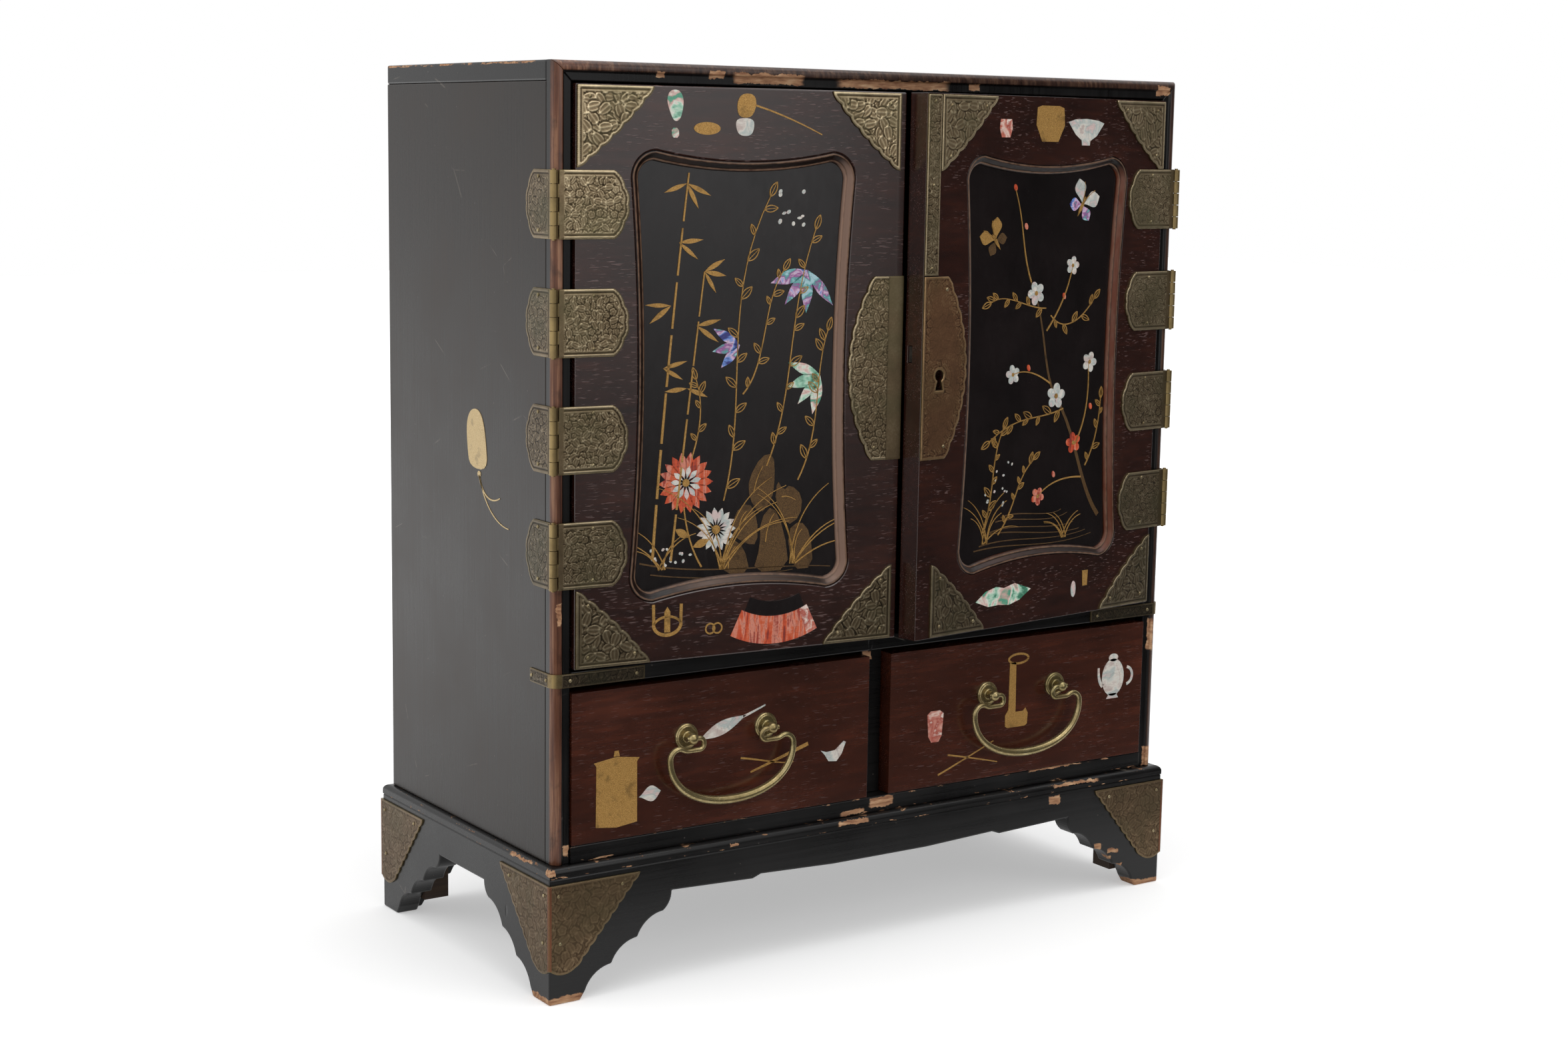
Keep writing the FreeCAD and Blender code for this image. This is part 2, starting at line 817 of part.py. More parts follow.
def half_bail():
    """Left half of the bail: pin, curl, dip and shoulder, and a bow that thickens to the middle."""
    x = drawer_middle - post_spacing / 2
    place = lambda u, v: V(x + u, eye_y, post_z + v)
    turn = radians(bail_rise)
    low = -2 * bail_curl
    dip_end = (-bail_dip_start - bail_dip * sin(turn), low + bail_dip * (1 - cos(turn)))
    dip_way = (-bail_dip_start - bail_dip * sin(turn / 2), low + bail_dip * (1 - cos(turn / 2)))
    centre = (dip_end[0] - bail_shoulder * sin(turn), dip_end[1] - bail_shoulder * cos(turn))
    shoulder_top = (centre[0], centre[1] + bail_shoulder)
    shoulder_end = (centre[0] - bail_shoulder, centre[1])
    middle = (post_spacing / 2, -bail_drop)
    curl = edges_along(
        (-bail_pin_reach, 0),
        [
            (bail_pin_reach, 0),
            ((bail_pin_reach + bail_curl, -bail_curl), (bail_pin_reach, low)),
            (-bail_dip_start, low),
        ],
        place,
    )
    bow = edges_along((-bail_dip_start, low), [(dip_way, dip_end), (shoulder_top, shoulder_end)], place)
    fall = (shoulder_end[1] - middle[1]) * bail_fullness
    spread = (middle[0] - shoulder_end[0]) * bail_fullness
    bow.append(bezier([
        place(*shoulder_end),
        place(shoulder_end[0], shoulder_end[1] - fall),
        place(middle[0] - spread, middle[1]),
        place(*middle),
    ]))
    pin_end = circle_wire(bail_pin_radius, place(-bail_pin_reach, 0), V(1, 0, 0))
    thin = Part.Wire(curl).makePipeShell([pin_end], True)
    sweep = Part.BRepOffsetAPI.MakePipeShell(Part.Wire(bow))
    sweep.add(circle_wire(bail_pin_radius, place(-bail_dip_start, low), V(-1, 0, 0)))
    sweep.add(circle_wire(bail_mid_radius, place(*middle), V(1, 0, 0)))
    sweep.build()
    sweep.makeSolid()
    return [thin, sweep.shape()]


def bail():
    halves = half_bail()
    middle = V(drawer_middle, 0, 0)
    halves += [piece.mirror(middle, V(1, 0, 0)) for piece in half_bail()]
    return halves[0].fuse(halves[1:])


# All nodes, with the doors turned to where they rest

def swung(shape, side):
    """A piece of a door, turned about that door's hinge axis."""
    copy = shape.copy()
    angle = -left_ajar if side == "left" else right_ajar
    x = -pivot_x if side == "left" else pivot_x
    copy.rotate(V(x, pivot_y, 0), UP, angle)
    return copy


def carcass_nodes():
    side = side_panel()
    stile = frame_stile()
    batten = shelf_batten()
    strap = corner_strap()
    nodes = {
        "side_panel_left": side,
        "side_panel_right": mirrored(side),
        "top_panel": top_panel(),
        "back_panel": back_panel(),
        "bottom_rail": floor_rail(plinth_height, drawer_floor),
        "bottom_panel": floor_board(plinth_height, drawer_floor),
        "mid_rail": floor_rail(drawer_ceiling, cupboard_floor),
        "dust_board": floor_board(drawer_ceiling, cupboard_floor),
        "drawer_divider": drawer_divider(),
        "cupboard_shelf": cupboard_shelf(),
        "shelf_battens": Part.makeCompound([batten, mirrored(batten)]),
        "front_frame_left": stile,
        "front_frame_right": mirrored(stile),
        "front_frame_top": frame_top_rail(),
        "corner_straps": Part.makeCompound([strap, mirrored(strap)]),
        "base_corner_mounts": base_mounts(),
        "plinth_blocks": corner_blocks(),
        "plinth_ledge": Part.makeCompound(list(four_sided(ledge).values())),
    }
    for place, piece in four_sided(apron).items():
        nodes["plinth_" + place] = piece
    nodes["left_hinge_side_leaves"] = at_hinges(side_leaf(), "left")
    nodes["right_hinge_side_leaves"] = mirrored(at_hinges(side_leaf(), "right"))
    left_pins = at_hinges(hinge_pin(), "left")
    right_pins = mirrored(at_hinges(hinge_pin(), "right"))
    nodes["hinge_pins"] = Part.makeCompound(left_pins.Solids + right_pins.Solids)
    return nodes


def door_nodes(side):
    pieces = door_frame()
    pieces["panel"] = door_panel()
    pieces["panel_moulding"] = panel_moulding()
    pieces["hinge_leaves"] = at_hinges(door_leaf(), side)
    pieces["corner_mounts"] = corner_mounts(side)
    pieces["lock_plate"] = lock_plate()
    if side == "left":
        pieces["meeting_stile"] = pieces["meeting_stile"].cut(strike_mortise())
    else:
        pieces = {name: mirrored(piece) for name, piece in pieces.items()}
        stile = pieces["meeting_stile"].cut(lock_case_block()).cut(bolt_way())
        pieces["meeting_stile"] = stile.cut(keyhole(door_thickness))
        pieces["lock_plate"] = pieces["lock_plate"].cut(keyhole(door_thickness))
        pieces["meeting_strip"] = meeting_strip()
        case_face = plate_thickness + door_thickness - case_depth
        case = lock_case_block().cut(bolt_way())
        pieces["lock_case"] = case.cut(keyhole(case_face + keyway_depth))
        pieces["lock_bolt"] = bolt_block(0)
    return {side + "_door_" + name: swung(piece, side) for name, piece in pieces.items()}


def drawer_nodes(side):
    pieces = {
        "drawer_front": drawer_front(),
        "drawer_sides": drawer_sides(),
        "drawer_back": drawer_back(),
        "drawer_bottom": drawer_bottom(),
        "bail": bail(),
    }
    if side == "right":
        pieces = {name: mirrored(piece) for name, piece in pieces.items()}
    pieces["handle_posts"] = handle_posts(side)
    return {side + "_" + name: piece for name, piece in pieces.items()}


def all_nodes():
    nodes = carcass_nodes()
    for side in ("left", "right"):
        nodes.update(door_nodes(side))
        nodes.update(drawer_nodes(side))
    return nodes


os.makedirs("parts", exist_ok=True)
for node, shape in all_nodes().items():
    shape.exportStep("parts/" + node + ".step")
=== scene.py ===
import json
import random
from math import atan2, cos, degrees, hypot, pi, radians, sin

import bmesh
import bpy
import numpy as np
from mathutils import Matrix, Vector
from mathutils.geometry import delaunay_2d_cdt, tessellate_polygon


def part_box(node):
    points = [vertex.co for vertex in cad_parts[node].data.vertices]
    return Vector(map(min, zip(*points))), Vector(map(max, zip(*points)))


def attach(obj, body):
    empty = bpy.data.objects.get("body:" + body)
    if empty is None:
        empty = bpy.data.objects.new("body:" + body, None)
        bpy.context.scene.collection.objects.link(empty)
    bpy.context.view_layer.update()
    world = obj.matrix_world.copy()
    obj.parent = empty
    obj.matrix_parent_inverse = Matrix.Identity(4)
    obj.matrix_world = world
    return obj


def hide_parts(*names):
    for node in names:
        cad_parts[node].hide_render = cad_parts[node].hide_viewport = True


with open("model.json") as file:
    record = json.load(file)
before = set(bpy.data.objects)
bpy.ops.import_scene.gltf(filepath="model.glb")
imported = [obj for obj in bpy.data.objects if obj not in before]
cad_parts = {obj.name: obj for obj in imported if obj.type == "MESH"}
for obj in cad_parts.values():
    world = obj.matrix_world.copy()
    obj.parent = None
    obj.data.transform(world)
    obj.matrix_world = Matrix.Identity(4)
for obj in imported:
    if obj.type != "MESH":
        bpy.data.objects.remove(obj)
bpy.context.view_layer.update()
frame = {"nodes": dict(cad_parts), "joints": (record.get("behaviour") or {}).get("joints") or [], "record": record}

MM = 0.001
UP = Vector((0, 0, 1))
nodes = frame["nodes"]
joints = {joint["name"]: joint for joint in frame["joints"]}
bodies_of = {node: body for body, group in frame["record"]["behaviour"]["bodies"].items() for node in group}
sides = ("left", "right")
hands = {"left": -1, "right": 1}


# Node trees

class Value:
    """A node's output, to reckon with like a number."""

    def __init__(self, shader, socket):
        self.shader = shader
        self.socket = socket

    def __add__(self, other):
        return self.shader.maths("ADD", self, other)

    def __sub__(self, other):
        return self.shader.maths("SUBTRACT", self, other)

    def __mul__(self, other):
        return self.shader.maths("MULTIPLY", self, other)

    def __truediv__(self, other):
        return self.shader.maths("DIVIDE", self, other)

    def __abs__(self):
        return self.shader.maths("ABSOLUTE", self)

    __rmul__ = __mul__


class Shader:
    """One procedural material: a node tree with short ways to add and join nodes."""

    def __init__(self, name):
        self.material = bpy.data.materials.new(name)
        self.material.use_nodes = True
        self.tree = self.material.node_tree
        self.bsdf = self.tree.nodes["Principled BSDF"]
        where = self.node("TexCoord", {})
        self.place = self.scaled(Value(self, where.outputs["Object"]), 1 / MM)
        self.normal = Value(self, where.outputs["Normal"])

    def put(self, socket, value):
        """Joins a value to a socket, or sets it there when it is a constant."""
        if isinstance(value, Value):
            self.tree.links.new(value.socket, socket)
        elif socket.type == "RGBA":
            socket.default_value = (*value, 1)
        else:
            socket.default_value = value

    def node(self, kind, inputs, **settings):
        """A new node with these settings, and with these inputs set or joined."""
        node = self.tree.nodes.new("ShaderNode" + kind)
        for name, setting in settings.items():
            setattr(node, name, setting)
        for name, value in inputs.items():
            self.put(node.inputs[name], value)
        return node

    def set(self, **values):
        """Sets the surface shader's sockets, with spaces in their names as underscores."""
        for name, value in values.items():
            self.put(self.bsdf.inputs[name.replace("_", " ")], value)

    def maths(self, operation, *values, clamp=False):
        node = self.node("Math", dict(enumerate(values)), operation=operation, use_clamp=clamp)
        return Value(self, node.outputs[0])

    def most(self, first, *others):
        """The largest of several values."""
        for other in others:
            first = self.maths("MAXIMUM", first, other)
        return first

    def vector(self, operation, *values):
        node = self.node("VectorMath", dict(enumerate(values)), operation=operation)
        return Value(self, node.outputs["Value" if operation in ("LENGTH", "DOT_PRODUCT") else "Vector"])

    def scaled(self, vector, scale):
        node = self.node("VectorMath", {0: vector, "Scale": scale}, operation="SCALE")
        return Value(self, node.outputs["Vector"])

    def parts(self, vector):
        """The three components of a vector."""
        return [Value(self, output) for output in self.node("SeparateXYZ", {0: vector}).outputs]

    def in_cells(self, per_mm):
        """The place, counted in cells of one over per_mm millimetres."""
        return self.vector("MULTIPLY", self.place, per_mm if isinstance(per_mm, tuple) else (per_mm,) * 3)

    def noise(self, per_mm, detail, rough=0.55, seed=0.0, warp=0.0, output="Fac"):
        """Noise with cells of about one over per_mm millimetres, alike or for each axis."""
        place = self.in_cells(per_mm)
        if seed:
            place = self.vector("ADD", place, (seed, 1.7 * seed, 2.3 * seed))
        node = self.node("TexNoise", {"Vector": place, "Scale": 1, "Detail": detail, "Roughness": rough,
                                      "Distortion": warp})
        return Value(self, node.outputs[output])

    def cells(self, per_mm, feature="F1"):
        """How far a spot is from the nearest cell's middle or, with another feature, from its edge."""
        node = self.node("TexVoronoi", {"Vector": self.in_cells(per_mm), "Scale": 1}, feature=feature)
        return Value(self, node.outputs["Distance"])

    def span(self, value, low, high, to_low=0.0, to_high=1.0, smooth=True):
        """Maps low to high onto to_low to to_high, held at both ends."""
        numbers = dict(enumerate((value, low, high, to_low, to_high)))
        node = self.node("MapRange", numbers, interpolation_type="SMOOTHSTEP" if smooth else "LINEAR")
        return Value(self, node.outputs["Result"])

    def ramp(self, value, *stops):
        """Colours that change between these stops."""
        node = self.node("ValToRGB", {0: value})
        elements = node.color_ramp.elements
        while len(elements) < len(stops):
            elements.new(1)
        for element, (at, colour) in zip(elements, stops):
            element.position = at
            element.color = (*colour, 1)
        return Value(self, node.outputs["Color"])

    def mix(self, amount, first, second):
        """Colour first where amount is 0, second where it is 1."""
        node = self.node("Mix", {"Factor": amount, 6: first, 7: second}, data_type="RGBA")
        return Value(self, node.outputs[2])

    def relief(self):
        """How raised a mesh says that it is."""
        return Value(self, self.node("Attribute", {}, attribute_name="relief").outputs["Fac"])

    def finished(self, colour, roughness, height, depth, strength, **others):
        """The material, with bumps of a depth in millimetres."""
        bump = self.node("Bump", {"Strength": strength, "Distance": depth * MM, "Height": height})
        self.set(Base_Color=colour, Roughness=roughness, Normal=Value(self, bump.outputs["Normal"]), **others)
        return self.material


def linear(*colour):
    """A colour given as display values from 0 to 255, as the linear values that shaders take."""
    shares = [value / 255 for value in colour]
    return tuple(share / 12.92 if share <= 0.04045 else ((share + 0.055) / 1.055) ** 2.4 for share in shares)


# Materials, with places and lengths in millimetres

GRAIN = {"x": (0.012, 0.7, 0.7), "z": (0.7, 0.7, 0.012)}
PALE_WOOD = linear(212, 178, 142)
BARE_WOOD = linear(180, 136, 100)
DARK_WOOD = linear(122, 78, 54)
CHIP_PUSH = 3.06
CHIP_FRAY = 1.35
BEAD_SIDE = 188.4
BEAD_TOP = 445.4
BEAD_BACK = -84.5
PANEL_CENTRE = 88.0
# The way that slopes face to take the mouldings' painted highlight
PAINTED_HIGHLIGHT_SIDE = (-1, 0, 0.34)
# Heights in millimetres between which engraved brass goes from painted shade below to painted light above
BRASS_SHADE_BELOW = 170.0
BRASS_LIGHT_ABOVE = 450.0


def chips(shader, places):
    """Mask of the worn chips: boxes with ragged edges, given by middle and half size."""
    ragged = shader.place
    for per_mm, detail, reach in ((0.22, 2, CHIP_PUSH), (0.9, 3, CHIP_FRAY)):
        push = shader.vector("SUBTRACT", shader.noise(per_mm, detail, output="Color"), (0.5, 0.5, 0.5))
        ragged = shader.vector("ADD", ragged, shader.scaled(push, reach))
    masks = []
    for middle, half in places:
        away = shader.vector("ABSOLUTE", shader.vector("SUBTRACT", ragged, middle))
        share = shader.parts(shader.vector("DIVIDE", away, half))
        masks.append(shader.span(shader.most(*share), 1.0, 0.86))
    return shader.most(*masks)


def flecks(shader, levels, spared):
    """Mask of flecks rubbed off along level edges at these heights; spared is higher for fewer."""
    height = shader.parts(shader.place)[2]
    spots = shader.noise((0.11, 0.11, 0.5), 4, 0.65, seed=6.6)
    rubbed = shader.span(spots, spared, spared + 0.03)
    return shader.most(*[shader.span(abs(height - level), 0.65, 0.4) * rubbed for level in levels])


def worn_soles(shader):
    """Mask of the ragged bare wood under the feet, most at the front."""
    _, y, z = shader.parts(shader.place)
    return shader.span(z - 6.0 * shader.noise(0.15, 4) + 0.02 * y, -1.2, -1.8)


def bead_wear(shader, base):
    """The front frame's rounded outer bead, rubbed to red-brown and tan, most on the left."""
    x, y, z = shader.parts(shader.place)
    outward = shader.most(abs(x) - BEAD_SIDE, z - BEAD_TOP)
    bead = shader.span(outward, -0.4, 0.5) * shader.span(y, BEAD_BACK, BEAD_BACK - 1.5)
    left = shader.span(x, -185, -150, 1.0, 0.32)
    along = shader.noise((0.5, 0.5, 0.02), 4, 0.6, seed=1.9)
    patch = shader.noise(0.08, 4, 0.6, seed=8.3)
    rubbed = shader.ramp(along, (0.3, linear(62, 34, 24)), (0.5, linear(104, 66, 48)),
                         (0.68, linear(150, 110, 84)))
    return shader.mix(bead * left * shader.span(patch, 0.25, 0.5, 0.35, 1), base, rubbed)


def black_lacquer(name, colour=(13, 12, 12), shine=0.32, streaks="z", worn=(), rubbed=(), spared=0.61,
                  soles=False, bead=False):
    """Aged black lacquer over wood: faint streaks along the grain, nicks, and chips to bare wood."""
    shader = Shader(name)
    streak = shader.noise(GRAIN[streaks], 4, 0.65)
    cloud = shader.noise(0.02, 3)
    dark = Vector(linear(*colour))
    base = shader.ramp(0.6 * streak + 0.4 * cloud, (0.25, 0.6 * dark), (0.5, dark), (0.75, 2.1 * dark))
    nicks = shader.span(shader.cells(0.11), 0.045, 0.03)
    base = shader.mix(0.5 * nicks, base, linear(92, 84, 78))
    dents = shader.span(shader.cells((0.03, 0.03, 0.011)), 0.05, 0.025)
    crack = shader.cells((0.014, 0.014, 0.02), "DISTANCE_TO_EDGE")
    broken = shader.noise((0.03, 0.03, 0.05), 3, seed=4.4)
    scratches = shader.span(crack, 0.006, 0.003) * shader.span(broken, 0.6, 0.67)
    base = shader.mix(0.22 * scratches, base, linear(150, 140, 128))
    rough = shader.span(0.5 * streak + 0.5 * cloud, 0.3, 0.7, 0.23, 0.39)
    height = 0.25 * streak - nicks - 3.0 * dents
    if bead:
        base = bead_wear(shader, base)
    masks = []
    if worn:
        masks.append(chips(shader, worn))
    if rubbed:
        masks.append(flecks(shader, rubbed, spared))
    if soles:
        masks.append(worn_soles(shader))
    if masks:
        mask = shader.most(*masks)
        grain = shader.noise((0.12, 0.6, 0.6), 4)
        bare = shader.ramp(grain, (0.3, DARK_WOOD), (0.55, BARE_WOOD), (0.75, PALE_WOOD))
        base = shader.mix(mask, base, bare)
        rough = shader.maths("ADD", rough, 0.35 * mask, clamp=True)
        height = height - mask
    return shader.finished(base, rough, height, 0.12, 0.6, Specular_IOR_Level=shine)


def maroon_lacquer(name, low, middle, high, flecked):
    """Dark maroon lacquer that lets the fine level grain flecks of the wood show through."""
    shader = Shader(name)
    cloud = shader.noise((0.018, 0.018, 0.03), 3)
    figure = shader.noise((0.03, 0.35, 0.35), 4, 0.6)
    tone = 0.5 * cloud + 0.5 * figure
    base = shader.ramp(tone, (0.3, linear(*low)), (0.52, linear(*middle)), (0.72, linear(*high)))
    fleck = shader.noise((0.16, 1.5, 1.5), 1, 0.4)
    crowd = shader.noise((0.035, 0.06, 0.06), 2, seed=3.1)
    shown = shader.span(fleck, 0.6, 0.74) * shader.span(crowd, 0.36, 0.62)
    base = shader.mix(flecked * shown, base, linear(132, 104, 100))
    rough = shader.span(cloud + shown, 0.3, 1.2, 0.2, 0.34)
    height = 0.3 * figure + 0.75 * flecked * shown
    return shader.finished(base, rough, height, 0.1, 0.5, Specular_IOR_Level=0.8)


def panel_lacquer():
    """Polished black lacquer of the door panels, with faint rubbing marks and dust."""
    shader = Shader("panel_lacquer_polished")
    cloud = shader.noise(0.03, 4)
    rub = shader.noise((0.3, 0.3, 0.12), 3, seed=1.3)
    dust = shader.span(shader.cells(0.35), 0.07, 0.04)
    base = shader.ramp(cloud, (0.3, linear(18, 14, 14)), (0.7, linear(29, 23, 23)))
    base = shader.mix(0.2 * dust, base, linear(104, 92, 80))
    rough = shader.span(rub, 0.3, 0.7, 0.16, 0.22)
    return shader.finished(base, rough, rub + dust, 0.006, 0.4, Specular_IOR_Level=0.55)


def moulding_lacquer():
    """Brown-black lacquer of the panel mouldings, rubbed to tan on the beads, with a painted highlight on the
    slopes that face the light from the left.
    """
    shader = Shader("moulding_lacquer_rubbed")
    along = shader.noise((0.05, 0.3, 0.05), 4)
    patch = shader.noise(0.3, 3, seed=2.2)
    base = shader.ramp(along, (0.3, linear(26, 17, 14)), (0.5, linear(41, 25, 19)),
                       (0.7, linear(60, 36, 27)))
    raised = shader.relief()
    # Darker where the tone is low, on the slopes and in the hollows
    base = shader.scaled(base, shader.span(raised, 0.1, 0.8, 0.4, 1.0))
    crest = shader.span(raised + 0.7 * patch, 1.0, 1.4)
    base = shader.mix(0.7 * crest, base, linear(132, 102, 80))
    # Painted highlight: slopes facing the light at the left, on the right-hand part of each panel, are paled to
    # tan, redder on the right door
    facing = shader.vector("DOT_PRODUCT", shader.normal, PAINTED_HIGHLIGHT_SIDE)
    x = shader.parts(shader.place)[0]
    off_centre = x - PANEL_CENTRE * shader.maths("SIGN", x)
    amount = shader.span(facing, 0.05, 0.7, 0.0, 0.66) * shader.span(off_centre, -45, -20)
    redder = shader.span(x, -20, 60) * shader.span(along, 0.35, 0.6, 0.65, 1.0)
    base = shader.mix(amount, base, shader.mix(redder, linear(160, 128, 110), linear(118, 58, 32)))
    rough = shader.span(patch, 0.3, 0.7, 0.3, 0.44)
    return shader.finished(base, rough, patch, 0.05, 0.5, Specular_IOR_Level=0.3)


def bare_wood(name, shade=1.0):
    """Unlacquered softwood, browned with age; shade below 1 darkens it as painted shade."""
    shader = Shader(name)
    ring = shader.noise((0.01, 0.01, 0.5), 4, 0.6, warp=0.4)
    pore = shader.noise((0.08, 2.5, 2.5), 2, seed=4.2)
    stain = shader.noise(0.02, 3, seed=7.7)
    base = shader.ramp(ring, (0.3, linear(128, 88, 56)), (0.5, linear(160, 116, 78)),
                       (0.7, linear(181, 140, 98)))
    base = shader.mix(shader.span(stain, 0.45, 0.75, 0, 0.5), base, linear(96, 62, 40))
    base = shader.mix(shader.span(pore, 0.62, 0.75, 0, 0.35), base, linear(84, 54, 34))
    rough = shader.span(pore, 0.3, 0.7, 0.62, 0.78)
    return shader.finished(shader.scaled(base, shade), rough, ring + pore, 0.1, 0.5)


def aged_brass(name, low, middle, high, roughness, relief=False, rubbed=None):
    """Old brass with a brown-green patina that stays in the hollows and is rubbed off the heights.

    Rubbed gives an upright line, how far from it a colour reaches, and that colour: a painted highlight along the
    hinge knuckles, and a coppery colour at the base mounts' corners.
    """
    shader = Shader(name)
    stain = shader.noise(0.09, 4, 0.6)
    speck = shader.noise(0.9, 3, 0.6, seed=5.1)
    tone = 0.65 * stain + 0.35 * speck
    if relief:
        tone = 0.8 * shader.relief() + 0.6 * (tone - 0.4)
    base = shader.ramp(tone, (0.1, linear(*low)), (0.45, linear(*middle)), (0.85, linear(*high)))
    tarnish = shader.span(shader.noise(0.045, 3, seed=9.4), 0.42, 0.7, 0, 0.5)
    base = shader.mix(tarnish, base, 0.8 * Vector(linear(middle[0] - 6, middle[1] + 4, middle[2])))
    x, y, z = shader.parts(shader.place)
    # Painted light and shade: engraved brass darkened towards the bottom and brightened above its own colour
    # towards the top
    if relief:
        base = shader.scaled(base, shader.span(z, BRASS_SHADE_BELOW, BRASS_LIGHT_ABOVE, 0.62, 1.35, smooth=False))
    # Along the hinge pin line this is a painted highlight on the knuckle barrels; on the base mounts, a coppery
    # colour at the corners
    if rubbed:
        (line_x, line_y), reach, colour = rubbed
        across = abs(x) - line_x
        deep = abs(y) - line_y
        away = shader.maths("SQRT", across * across + deep * deep)
        amount = shader.span(away, reach, 0.7 * reach) * shader.span(stain, 0.3, 0.6, 0.55, 1.0)
        base = shader.mix(amount, base, linear(*colour))
    rough = shader.span(tone, 0.2, 0.8, roughness + 0.12, roughness - 0.06)
    return shader.finished(base, rough, speck, 0.05, 0.5, Metallic=0.85)


def lock_iron():
    """Brown-black wrought iron of the lock's case and bolt."""
    shader = Shader("lock_iron_wrought")
    scale = shader.noise(0.25, 5, 0.65)
    rust = shader.span(shader.noise(0.12, 4, seed=6.3), 0.5, 0.7)
    base = shader.ramp(scale, (0.3, linear(38, 36, 34)), (0.7, linear(84, 78, 72)))
    base = shader.mix(rust, base, linear(92, 54, 34))
    return shader.finished(base, shader.span(scale, 0.3, 0.7, 0.5, 0.68), scale, 0.15, 0.6, Metallic=0.8)


def gold_lacquer(name, low, middle, high):
    """Sprinkled gold on lacquer, thin and rubbed in places."""
    shader = Shader(name)
    grains = shader.noise(2.2, 3, 0.7)
    rubbed = shader.noise(0.16, 4, seed=2.6)
    base = shader.ramp(grains, (0.3, linear(*low)), (0.5, linear(*middle)), (0.72, linear(*high)))
    base = shader.mix(shader.span(rubbed, 0.54, 0.72, 0, 0.7), base, 0.4 * Vector(linear(*middle)))
    return shader.finished(base, shader.span(grains, 0.3, 0.7, 0.5, 0.36), grains, 0.05, 0.5, Metallic=0.35)


def shell(name, colours, drift_per_mm=0.12, roughness=0.24):
    """Polished shell whose colours drift in soft bands."""
    shader = Shader(name)
    drift = shader.noise(drift_per_mm, 2, 0.5, warp=0.8)
    growth = shader.noise((0.3, 0.9, 1.1), 3, seed=3.7, warp=0.6)
    last = len(colours) - 1
    stops = [(0.36 + 0.28 * step / last, linear(*colour)) for step, colour in enumerate(colours)]
    base = shader.ramp(0.86 * drift + 0.14 * growth, *stops)
    crack = shader.span(shader.cells(0.13, "DISTANCE_TO_EDGE"), 0.008, 0.02, 0.22, 0)
    base = shader.mix(crack, base, linear(70, 60, 58))
    rough = shader.span(growth, 0.3, 0.7, roughness - 0.06, roughness + 0.08)
    return shader.finished(base, rough, growth, 0.04, 0.4)


# Outlines, in millimetres right and up on a face

LEAF_STEPS = 10


def turned(across, up, turn, x, z):
    """A point turned about nought by degrees, then moved by x, z."""
    c, s = cos(radians(turn)), sin(radians(turn))
    return x + c * across - s * up, z + s * across + c * up


def oval(x, z, half_width, half_height, turn=0.0, steps=28):
    """An ellipse, turned by degrees."""
    angles = [2 * pi * step / steps for step in range(steps)]
    return [turned(half_width * cos(angle), half_height * sin(angle), turn, x, z) for angle in angles]


def leaf(x, z, length, width, way, tip=1.0):
    """A pointed leaf from x, z towards way in degrees; tip below 1 puts its widest part further out."""
    steps = range(LEAF_STEPS + 1)
    half = [width / 2 * sin(pi * (step / LEAF_STEPS) ** (1 / tip)) ** 1.15 for step in steps]
    right = [(length * step / LEAF_STEPS, -half[step]) for step in steps]
    left = [(along, -across) for along, across in right[1:-1]]
    return [turned(along, across, way, x, z) for along, across in right + left[::-1]]


def curve(points, steps):
    """Points along the Bezier curve that these control points give."""
    found = []
    for step in range(steps + 1):
        level = [Vector(point) for point in points]
        while len(level) > 1:
            level = [a.lerp(b, step / steps) for a, b in zip(level, level[1:])]
        found.append(level[0])
    return found


def stroke(points, width, end_width=None, steps=18):
    """A brush stroke along a curve, with its width in millimetres at both ends."""
    line = curve(points, steps)
    end_width = width if end_width is None else end_width
    left, right = [], []
    for step, point in enumerate(line):
        ahead = line[min(step + 1, steps)] - line[max(step - 1, 0)]
        across = Vector((-ahead.y, ahead.x)).normalized()
        half = (width + (end_width - width) * step / steps) / 2
        left.append(tuple(point + half * across))
        right.append(tuple(point - half * across))
    return right + left[::-1]


def ring_part(x, z, inner, outer, start, end, steps=16):
    """Part of a flat ring between two angles in degrees."""
    angles = [radians(start + (end - start) * step / steps) for step in range(steps + 1)]
    far, near = [[(x + radius * cos(angle), z + radius * sin(angle)) for angle in angles]
                 for radius in (outer, inner)]
    return far + near[::-1]


def pairs(loop):
    """Each point of a closed loop with the next."""
    return list(zip(loop, loop[1:] + loop[:1]))


def signed_area(loop):
    """The area of a loop, below nought where it runs clockwise."""
    return sum(a[0] * b[1] - b[0] * a[1] for a, b in pairs(loop)) / 2


def rounded(points, times):
    """A closed outline with its corners cut off again and again, which leaves a smooth curve."""
    for _ in range(times):
        points = [((1 - share) * a[0] + share * b[0], (1 - share) * a[1] + share * b[1])
                  for a, b in pairs(points) for share in (0.25, 0.75)]
    return points


def divided(loop, spacing):
    """A loop with its long runs divided."""
    found = []
    for a, b in pairs(loop):
        count = max(1, round(hypot(b[0] - a[0], b[1] - a[1]) / spacing))
        found += [(a[0] + (b[0] - a[0]) * step / count, a[1] + (b[1] - a[1]) * step / count)
                  for step in range(count)]
    return found


# Pieces

WELD = 0.002
FLAT_ANGLE = radians(0.4)
SHARP_ANGLE = radians(35)
INLAY_SUNK = 0.15


def front_face(level, turn=Matrix()):
    """Takes millimetres right, up and out from a front face at y = level to the frame's metres."""
    return turn @ Matrix(((MM, 0, 0, 0), (0, 0, -MM, level * MM), (0, MM, 0, 0), (0, 0, 0, 1)))


def side_face(level):
    """The same on the left side, at x = level: right is towards the front."""
    return Matrix(((0, 0, -MM, level * MM), (-MM, 0, 0, 0), (0, MM, 0, 0), (0, 0, 0, 1)))


